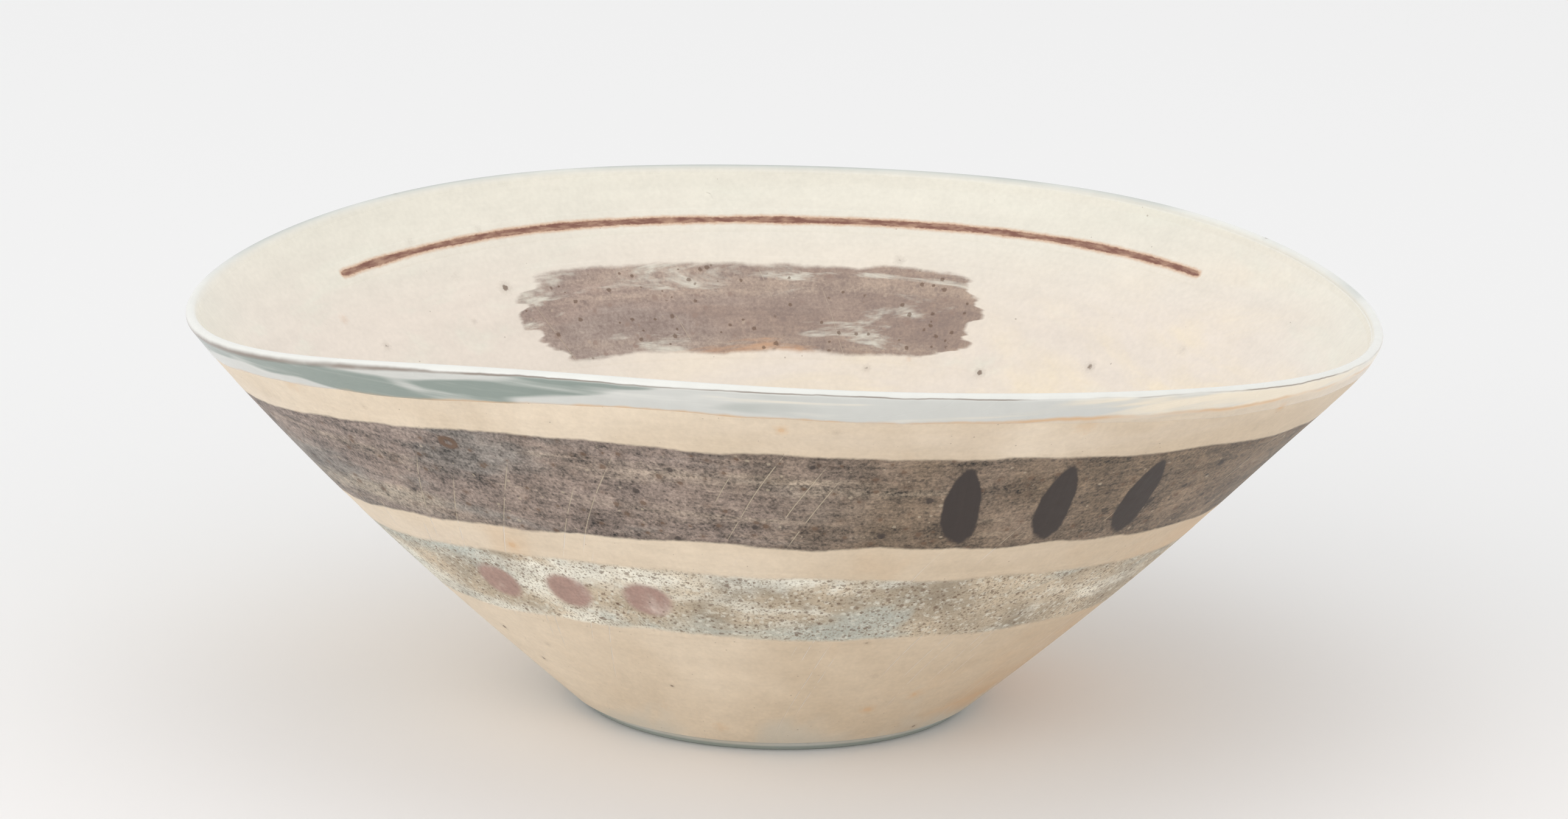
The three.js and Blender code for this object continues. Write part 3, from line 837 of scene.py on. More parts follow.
@cache
def inside_group():
    """The glaze inside: pinkish cream, paler and greener near the lip, with a warm blush low on the right
    that is partly painted light, and brown and rusty specks."""
    tints = ("liner", "liner_pale", "liner_blush", "speck", "iron_halo")
    bench, given = finish_group("Inside Ground", *tints)
    place = bench.place
    at = place.split()
    clouds = place.noise(11, distortion=0.5)
    sway = clouds.swing(0.06)
    high = (sway * 0.5 + at.z).rise(0.072, 0.104)
    base = bench.mix(high * 0.8, given.liner, given.liner_pale)
    # The blush is a peach tone of the glaze, made lighter as painted light on the lower inside
    warm = place.noise((14, 14, 40), detail=5, roughness=0.6, distortion=0.7)
    blush_and_light_low_right = (sway + at.z).rise(0.1, 0.05) * (sway + at.x).rise(-0.07, 0.03)
    base = bench.mix(warm.rise(0.34, 0.6) * blush_and_light_low_right, base, given.liner_blush)
    milk = place.noise((20, 20, 60), detail=4, roughness=0.6, distortion=0.5)
    base = bench.mix(milk.rise(0.54, 0.7, top=0.7), base, given.liner_pale)
    mottle = place.noise(160, roughness=0.55)
    streaks = place.noise((24, 24, 200), detail=4, roughness=0.6)
    base = shaded(bench, base, (mottle, 0.11), (streaks, 0.14), (place.noise(800), 0.14))
    base = speckled(
        bench,
        base,
        (given.speck, 0.015, 0.0011, 0.6, 0.75, 0.18),
        (given.speck, 0.005, 0.00035, 0.5, 0.4, 0.0),
        (given.iron_halo, 0.031, 0.0012, 0.5, 0.9, 0.3),
    )
    return bench.give(base, clouds * 0.1 + 0.3, streaks * 1.2 + place.noise(600, detail=2))


@cache
def grey_group():
    """The grey-brown slip: brushed streaks, slate and sandy passages, a fine mottle, brown specks,
    pale flecks, scratches and one blister."""
    bench, given = finish_group("Grey Slip", "grey", "olive", "slate", "speck", "dark", "sand")
    place = bench.place
    x = place.split().x
    drift = place.noise(13, distortion=0.4)
    base = bench.mix((x * 2 + drift).rise(0.3, 0.78), given.grey, given.olive)
    cool = place.noise((11, 11, 60), detail=4, roughness=0.6, distortion=0.5).rise(0.48, 0.62)
    base = bench.mix(cool * x.rise(0.04, -0.04, top=0.85), base, given.slate)
    loads = place.noise((9, 9, 120), detail=4, roughness=0.6, distortion=0.3)
    base = bench.mix(loads.rise(0.48, 0.7, top=0.42), base, given.sand)
    bristles = place.noise((22, 22, 760), roughness=0.6)
    clouds = place.noise(75, detail=4, roughness=0.6)
    mottle = place.noise(420, detail=4, roughness=0.8)
    grain = place.noise(1300, detail=2, roughness=0.6)
    base = shaded(bench, base, (bristles, 1.4), (clouds, 2.2), (mottle, 2.3), (grain, 2.2))
    base = speckled(
        bench,
        base,
        (given.dark, 0.0017, 0.0007, 0.6, 0.5, 0.0),
        (given.sand, 0.0027, 0.0007, 0.25, 0.55, 0.0),
        (given.speck, 0.0036, 0.0011, 0.6, 0.7, 0.2),
        (given.dark, 0.0068, 0.0014, 0.6, 0.8, 0.25),
    )
    base, line = scratched(bench, base, given.sand)
    base, ring = blistered(bench, base, given.speck)
    height = ring * 3 + (line * -1.2 + (bristles * 1.6 + mottle))
    return bench.give(base, mottle * 0.2 + 0.4, height)


@cache
def sand_group():
    """The sandy slip: dense fine dark grains, pale blotches and a breath of cyan."""
    tints = ("sand", "sand_grain", "speck", "liner_pale", "cyan_tint")
    bench, given = finish_group("Sand Slip", *tints)
    place = bench.place
    wash = place.noise((24, 24, 70), detail=4, roughness=0.6, distortion=0.5)
    base = bench.mix(wash.rise(0.46, 0.64, top=0.85), given.sand, given.liner_pale)
    base = shaded(bench, base, (place.noise(50, detail=4, roughness=0.6), 2.0))
    tint = place.noise((17, 17, 40), detail=4, roughness=0.6, distortion=0.6)
    base = bench.mix(tint.rise(0.47, 0.62, top=0.7), base, given.cyan_tint)
    blotch = place.noise(520, roughness=0.7)
    base = bench.mix(blotch.rise(0.52, 0.68, top=0.5), base, given.liner_pale)
    grains = place.noise(1500, detail=2, roughness=0.7)
    patchy = place.noise(90, roughness=0.6).rise(0.3, 0.6, 0.35, 0.8)
    base = bench.mix(grains.rise(0.5, 0.64) * patchy, base, given.sand_grain)
    base = speckled(
        bench,
        base,
        (given.liner_pale, 0.0019, 0.0009, 0.6, 0.45, 0.0),
        (given.speck, 0.0013, 0.0006, 0.8, 0.6, 0.0),
        (given.speck, 0.0031, 0.0009, 0.7, 0.6, 0.0),
        (given.speck, 0.0065, 0.0009, 0.5, 0.7, 0.2),
    )
    return bench.give(base, blotch * 0.25 + 0.43, grains * -0.5 + blotch)


# Materials


def bare_material(name):
    """A material with nothing in it yet, and its bench."""
    material = bpy.data.materials.new(name)
    material.use_nodes = True
    material.node_tree.nodes.clear()
    bench = Bench(material.node_tree)
    bench.place = bench.take("ShaderNodeTexCoord", output="Object")
    return material, bench


def finished(name, relief, coat=0.0):
    """Makes a material of a function that says how it looks, with bumps of this depth in metres."""

    def maker_of(look_of):
        @cache
        def maker():
            material, bench = bare_material(name)
            look = look_of(bench, bpy.context.scene.bowl_colours)
            inputs = {"Height": look.height, "Distance": relief}
            inputs = {
                "Base Color": look.color,
                "Roughness": look.roughness,
                "Normal": bench.take("ShaderNodeBump", inputs),
                "Coat Weight": coat,
                "Coat Roughness": 0.12,
            }
            shader = bench.take("ShaderNodeBsdfPrincipled", inputs)
            bench.put("ShaderNodeOutputMaterial", {"Surface": shader})
            return material

        return maker

    return maker_of


def finish(base, roughness, height):
    return SimpleNamespace(color=base, roughness=roughness, height=height)


def shared(bench, colours, tree):
    """A shared finish, with its colours from the settings."""
    inputs = {"vector": bench.place}
    for item in tree.interface.items_tree:
        if item.in_out == "INPUT" and item.socket_type == SOCKETS["C"]:
            inputs[plain_name(item.name)] = getattr(colours, plain_name(item.name))
    return bench.group(tree, **inputs)


def over(bench, cover, below, above):
    """One finish laid over another where it covers it."""
    parts = ("color", "roughness", "height")
    return finish(*(bench.mix(cover, getattr(below, part), getattr(above, part)) for part in parts))


def brushed(bench, wobble, softness, dryness=0.0):
    """Where the stroke covers what is under it, and where the slip gathers inside its edge."""
    inputs = {key: bench.painted(key) for key in ("along", "across", "edge", "tip")}
    inputs.update(wobble=wobble, softness=softness, dryness=dryness)
    return bench.group(brush_group(), **inputs)


def stroke_grain(bench, pull, spread):
    """Noise drawn out along a stroke."""
    flat = bench.combine(bench.painted("along"), bench.painted("across"), 0.0)
    return flat.noise((pull, spread, 1), roughness=0.6)


@finished("porcelain", relief=0.00008)
def porcelain(bench, colours):
    clouds = bench.place.noise(60, detail=4, roughness=0.6)
    fine = bench.place.noise(900, roughness=0.6)
    base = shaded(bench, colours.clay, (clouds, 0.2), (fine, 0.12))
    base = speckled(bench, base, (colours.speck, 0.004, 0.0004, 0.6, 0.5, 0.0))
    # Painted contact shadow: the bare clay turns dark teal in its lowest 1.4 mm, where the foot meets the
    # floor
    low = bench.place.split().z.rise(0.0014, 0.0005, top=0.8)
    return finish(bench.mix(low, base, colours.rim_teal), fine * 0.2 + 0.55, fine)


@finished("cream_slip", relief=0.00007)
def cream_slip(bench, colours):
    return shared(bench, colours, outside_group())


@finished("liner_glaze", relief=0.00004, coat=0.15)
def liner(bench, colours):
    return shared(bench, colours, inside_group())


@finished("grey_slip", relief=0.00008)
def grey_band(bench, colours):
    slip = shared(bench, colours, grey_group())
    brush = brushed(bench, wobble=0.0011, softness=0.0012, dryness=0.0045)
    base = bench.mix(brush.rim * 0.22, slip.color, colours.dark)
    above = finish(base, slip.roughness, slip.height)
    return over(bench, brush.cover, shared(bench, colours, outside_group()), above)


@finished("sand_slip", relief=0.0001)
def sand_band(bench, colours):
    brush = brushed(bench, wobble=0.0009, softness=0.0018, dryness=0.006)
    ground = shared(bench, colours, outside_group())
    return over(bench, brush.cover, ground, shared(bench, colours, sand_group()))


@finished("grey_slip_inside", relief=0.00007)
def inside_arc(bench, colours):
    place = bench.place
    slip = shared(bench, colours, grey_group())
    base = bench.mix(0.5, slip.color, colours.arc)
    pale = place.noise((26, 26, 135), detail=5, roughness=0.65, distortion=0.5)
    base = bench.mix(pale.rise(0.54, 0.7, top=0.85), base, colours.liner_pale)
    rusty = place.noise((16, 16, 90), detail=5, roughness=0.65, distortion=0.6)
    base = bench.mix(rusty.rise(0.55, 0.68, top=0.7), base, colours.iron_halo)
    base = speckled(bench, base, (colours.speck, 0.003, 0.0009, 0.65, 0.7, 0.0))
    brush = brushed(bench, wobble=0.0013, softness=0.0016, dryness=0.005)
    above = finish(base, slip.roughness, slip.height)
    return over(bench, brush.cover, shared(bench, colours, inside_group()), above)


@finished("iron_slip", relief=0.00006)
def iron_slip(bench, colours):
    ground = shared(bench, colours, inside_group())
    ragged = stroke_grain(bench, 700, 1100)
    edge = bench.painted("edge") + ragged.swing(0.0009) + stroke_grain(bench, 46, 60).swing(0.0014)
    halo = edge.rise(-0.0008, 0.0005, top=0.8)
    core = edge.rise(0.0001, 0.0006)
    broken = stroke_grain(bench, 190, 700).rise(0.3, 0.62, 0.5, 1.0)
    base = bench.mix(halo, ground.color, colours.iron_halo)
    base = bench.mix(core * broken, base, colours.iron)
    roughness = bench.mix(core, ground.roughness, 0.4)
    return finish(base, roughness, bench.mix(core, ground.height, ragged))


@finished("dark_slip", relief=0.00005)
def dark_slip(bench, colours):
    bristles = stroke_grain(bench, 40, 700)
    mottle = bench.place.noise(260, roughness=0.6)
    base = shaded(bench, colours.dark, (mottle, 0.4), (bristles, 0.5))
    base = speckled(bench, base, (colours.cyan_tint, 0.006, 0.0006, 0.45, 0.6, 0.0))
    above = finish(base, mottle * 0.2 + 0.4, mottle + bristles)
    brush = brushed(bench, wobble=0.0009, softness=0.0007)
    return over(bench, brush.cover, shared(bench, colours, grey_group()), above)


@finished("pink_slip", relief=0.00006)
def pink_slip(bench, colours):
    place = bench.place
    mottle = place.noise(300, detail=4, roughness=0.7)
    pale = place.noise(80, detail=4, roughness=0.6, distortion=0.4)
    base = bench.mix(pale.rise(0.46, 0.7, top=0.45), colours.pink, colours.liner)
    base = shaded(bench, base, (mottle, 0.5), (place.noise(1200, detail=2), 0.4))
    base = speckled(bench, base, (colours.speck, 0.0028, 0.0005, 0.5, 0.6, 0.0))
    above = finish(base, mottle * 0.15 + 0.47, mottle)
    brush = brushed(bench, wobble=0.0007, softness=0.0026)
    return over(bench, brush.cover, shared(bench, colours, sand_group()), above)


@finished("pale_glaze", relief=0.00004, coat=0.25)
def pale_glaze(bench, colours):
    """The rim: white over the lip, then a broken hairline, then blue-white with teal passages."""
    place = bench.place
    at = place.split()
    run = bench.painted("run")
    edge = bench.painted("edge")
    pool = place.noise((15, 15, 90), detail=2, distortion=0.4)
    flow = edge + pool.swing(0.03)
    thick = flow.rise(0.0025, 0.0042) * flow.rise(0.0098, 0.0075)
    outside = bench.mix(at.x.rise(0.02, -0.05) * thick, colours.rim_blue, colours.rim_teal)
    milk = place.noise((20, 20, 300), distortion=0.3)
    outside = bench.mix(milk.rise(0.5, 0.75, top=0.5), outside, colours.lip)
    warm = (at.x * 2.2 + milk).rise(0.56, 0.82, top=0.8)
    outside = bench.mix(warm, outside, colours.liner_blush)
    ragged = place.noise(240).swing(0.0006) + edge
    past = ragged + place.noise(60).swing(0.002) - at.x.rise(0.02, 0.13, top=0.004)
    bare = past.rise(0, -0.0012, top=0.85)
    outside = bench.mix(bare, outside, shared(bench, colours, outside_group()).color)
    stain = place.noise(33, roughness=0.6).rise(0.36, 0.62, 0.25, 0.9)
    outside = bench.mix(abs(past).rise(0.0012, 0) * stain, outside, colours.flash)
    hair_run = run + place.noise(45, detail=4, roughness=0.6).swing(0.0016)
    faint = place.noise(28, roughness=0.6).rise(0.38, 0.6, 0.1, 0.75)
    faint = bench.maths("MAXIMUM", faint, at.x.rise(-0.1, -0.125, top=0.75))
    spread = (at.x + pool.swing(0.08)).rise(-0.05, -0.1, 0.0003, 0.0013)
    hair = abs(hair_run - 0.0017).rise(spread, 0) * faint
    within = shared(bench, colours, inside_group()).color
    within = bench.mix(run.rise(-0.004, -0.0005), within, colours.lip)
    cool = (at.y * 1.3 + place.noise(13, detail=2)).rise(0.5, 0.7)
    cool = cool * run.rise(-0.0026, 0.0004, top=0.75)
    within = bench.mix(cool, within, colours.rim_teal)
    base = bench.mix(hair_run.rise(0.0012, 0.0024), within, outside)
    base = bench.mix(hair, base, colours.speck)
    base = shaded(bench, base, (place.noise(200, roughness=0.55), 0.1))
    base = speckled(bench, base, (colours.speck, 0.012, 0.0008, 0.5, 0.6, 0.1))
    return finish(base, pool * 0.12 + 0.2, place.noise(500, detail=2))


@finished("foot_glaze", relief=0.00005, coat=0.25)
def foot_glaze(bench, colours):
    place = bench.place
    pool = place.noise(40)
    base = bench.mix(pool.rise(0.35, 0.65, top=0.7), colours.foot_glaze, colours.rim_blue)
    base = shaded(bench, base, (place.noise(200), 0.15))
    # Partly glaze gathered at its lower edge, partly painted contact shadow: the glaze turns dark teal in
    # its lowest 1.7 mm, just over the floor
    base = bench.mix(place.split().z.rise(0.0017, 0.0009, top=0.8), base, colours.rim_teal)
    base = speckled(bench, base, (colours.speck, 0.008, 0.0006, 0.5, 0.5, 0.1))
    return finish(base, pool * 0.12 + 0.2, place.noise(500, detail=2))


# Flat patterns, laid on the bowl by the trees


def settle(piece, slot, *nodes):
    """The piece rides on the bowl and stands for its CAD nodes."""
    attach(piece, BODY)
    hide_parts(*nodes)


def smooth(part):
    part = np.clip(part, 0, 1)
    return part * part * (3 - 2 * part)


def turn_places(count):
    return np.arange(count) * TURN / count


def round_the_lip(values, place):
    """A value of the lip at a place, on an even curve through the stations round it."""
    count = len(values)
    total = 0
    for index, value in enumerate(values):
        gap = place - TURN * index / count
        weight = 1 + np.cos(count / 2 * gap)
        for wave in range(1, count // 2):
            weight = weight + 2 * np.cos(wave * gap)
        total = total + value * weight / count
    return total


def lip_from_foot(count):
    """Points all round the lip, from the foot's axis."""
    sizes = bpy.context.scene.bowl_sizes
    place = turn_places(count)
    reach = round_the_lip(sizes.lip_reach, place)
    height = round_the_lip(sizes.lip_height, place)
    return np.stack([reach * np.cos(place), reach * np.sin(place), height], axis=-1)


def foot_centre():
    """Where the foot's axis is when the lip's box is centred on the origin."""
    lip = lip_from_foot(CENTRE_STEPS)
    centre = -(lip.max(axis=0) + lip.min(axis=0)) / 2
    return [centre[0], centre[1], 0.0]


@cache
def lip_line():
    """The lip as a closed row of points, which the trees read."""
    mesh = bpy.data.meshes.new("lip_line")
    mesh.from_pydata((lip_from_foot(LIP_POINTS) + foot_centre()).tolist(), [], [])
    line = bpy.data.objects.new("lip_line", mesh)
    bpy.context.scene.collection.objects.link(line)
    return line


def pattern_mesh(name, faces, values):
    """A mesh that is nowhere yet: its points only say where they are to be laid."""
    count = len(values["place"])
    mesh = bpy.data.meshes.new(name + "_pattern")
    mesh.from_pydata([(0.0, 0.0, 0.0)] * count, [], faces)
    for key, said in {**PATTERN, **values}.items():
        layer = mesh.attributes.new(key, "FLOAT", "POINT")
        layer.data.foreach_set("value", np.broadcast_to(said, count).astype(np.float32))
    return mesh


def sheet(name, rows, closed, around):
    """Rows all round the bowl, joined one after another. In a closed sheet the last joins the first."""
    values = {"place": np.tile(turn_places(around), len(rows))}
    for key in sorted(set().union(*rows)):
        default = PATTERN.get(key, 0.0)
        values[key] = np.concatenate([np.broadcast_to(row.get(key, default), around) for row in rows])
    at = np.arange(len(rows) * around).reshape(len(rows), around)
    low = at if closed else at[:-1]
    high = np.roll(at, -1, axis=0) if closed else at[1:]
    corners = [low, high, np.roll(high, -1, axis=1), np.roll(low, -1, axis=1)]
    return pattern_mesh(name, np.stack(corners, axis=-1).reshape(-1, 4).tolist(), values)


def patch(name, values, under):
    """A thin closed skin: a grid of points on top, whose edge is also the edge of the grid below it."""
    columns, rows = values["depth"].shape
    top = np.arange(columns * rows).reshape(columns, rows)
    low = top.copy()
    low[1:-1, 1:-1] = np.arange((columns - 2) * (rows - 2)).reshape(columns - 2, rows - 2) + top.size
    faces = []
    for grid, order in ((top, (0, 1, 2, 3)), (low, (3, 2, 1, 0))):
        corners = [grid[:-1, :-1], grid[1:, :-1], grid[1:, 1:], grid[:-1, 1:]]
        faces.extend(np.stack([corners[index].ravel() for index in order], axis=1).tolist())
    said = {}
    for key, grid in values.items():
        grid = np.broadcast_to(grid, (columns, rows))
        hidden = np.full((columns - 2, rows - 2), under) if key == "depth" else grid[1:-1, 1:-1]
        said[key] = np.concatenate([grid.ravel(), hidden.ravel()])
    return pattern_mesh(name, faces, said)


def bowl_inputs(anchor=1.0, gauge=UNDER_LIP):
    """What the laying tree is told: the bowl's sizes, and what distances are measured from."""
    sizes = bpy.context.scene.bowl_sizes
    inputs = {key: float(getattr(sizes, key)) for key in (*WALL_SIZES, "knee_share")}
    place = {"lip_line": lip_line(), "centre": foot_centre()}
    return {**inputs, **place, "anchor": anchor, "gauge": gauge, "weld": WELD}


def lay(name, pattern, material, *measured_from):
    """Lays a pattern on the bowl as a finished piece."""
    inputs = {**bowl_inputs(*measured_from), "material": material}
    piece = run_tree(name, pattern, laying_tree(), inputs)
    finish_mesh(piece.data)
    return piece


def clad(node, slot, material, rows, closed=True, around=AROUND):
    """Lays a sheet on the bowl, which stands for a CAD node."""
    name = node + "_skin"
    settle(lay(name, sheet(name, rows, closed, around), material()), slot, node)


def ring_row(radius, height):
    """A level ring round the foot's axis. One with no radius closes a sheet."""
    return {"bend": 0.0, "radius": radius, "height": height}


def rows_outside(depth, below, lowered, rows):
    """From the foot up the outside to this far below the lip."""
    parts = np.linspace(0.0, 1.0, rows)
    return [{"part": part, "below": below, "rise": -lowered * part, "depth": depth} for part in parts]


def rows_inside(depth, below, lowered, rows):
    """From the middle of the floor, round the bend and up the inside to this far below the lip."""
    sizes = bpy.context.scene.bowl_sizes
    radius = sizes.floor_flat_radius
    height = sizes.floor_height - depth
    found = [ring_row(radius * part, height) for part in FLOOR_PARTS]
    for step in range(BEND_ROWS):
        bend = {"bend": step / BEND_ROWS, "radius": radius, "height": height}
        found.append({**bend, "side": INSIDE, "depth": depth})
    return found + [{**row, "side": INSIDE} for row in rows_outside(depth, below, lowered, rows)]


def rows_over_the_lip(inset, rows):
    """The half-round lip, from outside to inside, this far under its surface."""
    radius = bpy.context.scene.bowl_sizes.lip_thickness / 2
    found = []
    for turn in np.linspace(0.0, math.pi, rows + 2)[1:-1]:
        rise = (radius - inset) * math.sin(turn) - radius
        depth = radius - (radius - inset) * math.cos(turn)
        run = radius * (math.pi / 2 - turn)
        found.append({"rise": rise, "depth": depth, "run": run, "edge": FAR_IN})
    return found


def rim_run(place):
    """How far down the rim glaze runs outside."""
    brushwork = bpy.context.scene.bowl_brushwork
    wave = (np.sin(5 * place) + np.sin(8 * place + 1)) / 2
    ripple = np.sin(23 * place + 2) * np.sin(3 * place) / 3 + np.sin(41 * place) / 6
    return brushwork.rim_outside + brushwork.rim_wave * (wave + ripple / 2)


def brush_settings(key, *parts):
    """The settings of the brushwork whose names start with this key, and nothing for one it hasn't."""
    return [getattr(bpy.context.scene.bowl_brushwork, f"{key}_{part}", 0.0) for part in parts]


def stroke(node, slot, material, side, key, grid):
    """A brushed band that follows the wall, with blunt round ends, which stands for a CAD node."""
    sizes = bpy.context.scene.bowl_sizes
    brushwork = bpy.context.scene.bowl_brushwork
    span, level, width = brush_settings(key, "span", "share", "width")
    columns, rows = grid
    reach = round_the_lip(sizes.lip_reach, (span[0] + span[1]) / 2) - sizes.base_radius
    radius = sizes.base_radius + reach * (level + sizes.wall_fullness * level * (1 - level))
    painted = (span[1] - span[0]) * radius
    half = width / 2
    margin = brushwork.margin
    ends = np.array(TIP_STEPS) * MM
    middle = np.linspace(TIP_MIDDLE * MM, painted + 2 * margin - TIP_MIDDLE * MM, columns)
    along = np.concatenate([ends, middle, painted + 2 * margin - ends[::-1]]) - margin
    sides = np.array(SIDE_STEPS) * MM - half - margin
    even = np.linspace(SIDE_MIDDLE * MM - half - margin, half + margin - SIDE_MIDDLE * MM, rows)
    across = np.concatenate([sides, even, -sides[::-1]])
    along, across = np.meshgrid(along, across, indexing="ij")
    to_tip = np.minimum(along, painted - along)
    past = np.clip(1 - to_tip / half, 0, None)
    border = np.minimum(half - np.abs(across), to_tip) + margin
    values = {
        "place": span[0] + along / radius,
        "below": -across,
        "side": side,
        "depth": brushwork.sink - (brushwork.film + brushwork.sink) * smooth(border / MM),
        "along": along,
        "across": across,
        "edge": (1 - np.hypot(past, across / half)) * half,
        "tip": to_tip,
    }
    name = node + "_skin"
    piece = lay(name, patch(name, values, brushwork.sink), material(), level, level)
    settle(piece, slot, node)


def marks(nodes, slot, material, key):
    """Dabs or round dots, one under each anchor over the coat, which stand for as many CAD nodes."""
    brushwork = bpy.context.scene.bowl_brushwork
    places, level, width, long_way = brush_settings(key, "places", "share", "width", "length")
    lean, taper = brush_settings(key, "lean", "taper")
    name = nodes + "s_skin"
    start = pattern_mesh(name, [], {"place": np.array(places), "depth": -ANCHOR_LIFT})
    anchors = run_tree(name + "_anchors", start, laying_tree(), bowl_inputs(level, level))
    mesh = anchors.data
    bpy.data.objects.remove(anchors)
    inputs = {
        "coat": bpy.data.objects["outer_coat_skin"],
        "width": width,
        "length": long_way or width,
        "lean": lean,
        "taper": taper,
        "margin": brushwork.margin,
        "film": brushwork.film * 2,
        "sink": brushwork.sink,
        "columns": 25,
        "rows": 41,
        "material": material(),
    }
    piece = run_tree(name, mesh, marks_tree(), inputs)
    finish_mesh(piece.data)
    settle(piece, slot, *[f"{nodes}_{number + 1}" for number in range(len(places))])


# Operators


class BOWL_OT_body(bpy.types.Operator):
    """Throws the porcelain wall and floor"""

    bl_idname = "bowl.body"
    bl_label = "Porcelain Body"

    def execute(self, context):
        sizes = context.scene.bowl_sizes
        seat = sizes.glaze_thickness + sizes.layer_clearance
        coat_seat = sizes.slip_thickness + sizes.layer_clearance
        ledge = sizes.base_height + sizes.layer_clearance
        under = sizes.foot_recess + seat
        lowered = sizes.lip_thickness / 2
        rows = rows_inside(seat, 0.0, lowered, rows=21)
        rows += rows_over_the_lip(seat, rows=7)[::-1]
        rows += rows_outside(coat_seat, 0.0, lowered, rows=26)[::-1]
        rows += [
            ring_row(sizes.base_radius - seat, ledge),
            ring_row(sizes.foot_inner_radius, ledge),
            ring_row(sizes.foot_inner_radius, under),
            ring_row(0.0, under),
        ]
        clad("porcelain_body", "porcelain", porcelain, rows, closed=False, around=BODY_AROUND)
        return {"FINISHED"}


class BOWL_OT_liner(bpy.types.Operator):
    """Pours the cream glaze over the inside"""

    bl_idname = "bowl.liner"
    bl_label = "Liner Glaze"

    def execute(self, context):
        thickness = context.scene.bowl_sizes.glaze_thickness
        below = context.scene.bowl_brushwork.rim_inside - LINER_TUCK
        rows = rows_inside(0.0, below, 0.0, rows=53)
        rows += rows_inside(thickness, below, 0.0, rows=7)[::-1]
        clad("liner_glaze", "liner_glaze", liner, rows, closed=False)
        return {"FINISHED"}


class BOWL_OT_coat(bpy.types.Operator):
    """Brushes the cream slip over the outside"""

    bl_idname = "bowl.coat"
    bl_label = "Outer Coat"

    def execute(self, context):
        thickness = context.scene.bowl_sizes.slip_thickness
        below = rim_run(turn_places(AROUND)) - COAT_TUCK
        rows = rows_outside(0.0, below, 0.0, rows=65)
        rows += rows_outside(thickness, below, 0.0, rows=9)[::-1]
        clad("outer_coat", "cream_slip", cream_slip, rows)
        return {"FINISHED"}


class BOWL_OT_rim(bpy.types.Operator):
    """Dips the lip in the pale blue-white glaze"""

    bl_idname = "bowl.rim"
    bl_label = "Rim Glaze"

    def execute(self, context):
        thickness = context.scene.bowl_sizes.glaze_thickness
        radius = context.scene.bowl_sizes.lip_thickness / 2
        inner = context.scene.bowl_brushwork.rim_inside
        run = rim_run(turn_places(RIM_AROUND))
        rows = [self.outside_row(context, run, radius, part) for part in RIM_OUTSIDE_PARTS]
        rows += rows_over_the_lip(0.0, rows=13)
        rows += [self.inside_row(inner, radius, part) for part in RIM_INSIDE_PARTS]
        for part in RIM_SEAT_PARTS:
            place = {"below": inner * part, "rise": -radius * (1 - part), "side": INSIDE}
            rows.append({**place, "depth": thickness})
        rows += rows_over_the_lip(thickness, rows=3)[::-1]
        for part in RIM_SEAT_PARTS:
            rows.append({"below": run * (1 - part), "rise": -radius * part, "depth": thickness})
        clad("rim_glaze", "pale_glaze", pale_glaze, rows, around=RIM_AROUND)
        return {"FINISHED"}

    def outside_row(self, context, run, radius, part):
        """A row outside, from the lower edge with its swollen bead up to the lip."""
        swell = 0.9 * MM
        rounding = 0.2 * MM
        edge_depth = 0.08 * MM
        climb = (run - radius) * part
        bead = context.scene.bowl_brushwork.rim_bead * climb / swell * np.exp(1 - climb / swell)
        near_lip = smooth(part * 5 - 4)
        depth = (edge_depth * np.exp(-climb / rounding) - bead) * (1 - near_lip)
        from_top = run - radius - climb + radius * math.pi / 2
        place = {"below": run * (1 - part), "rise": -radius * part, "depth": depth}
        return {**place, "run": from_top, "edge": climb}

    def inside_row(self, inner, radius, part):
        """A row inside, from the lip down to where the liner's edge is."""
        edge_depth = 0.06 * MM
        depth = edge_depth * smooth(part * 2.5 - 1.5)
        from_top = -(inner - radius) * part - radius * math.pi / 2
        place = {"below": inner * part, "rise": -radius * (1 - part), "side": INSIDE}
        return {**place, "depth": depth, "run": from_top, "edge": FAR_IN}


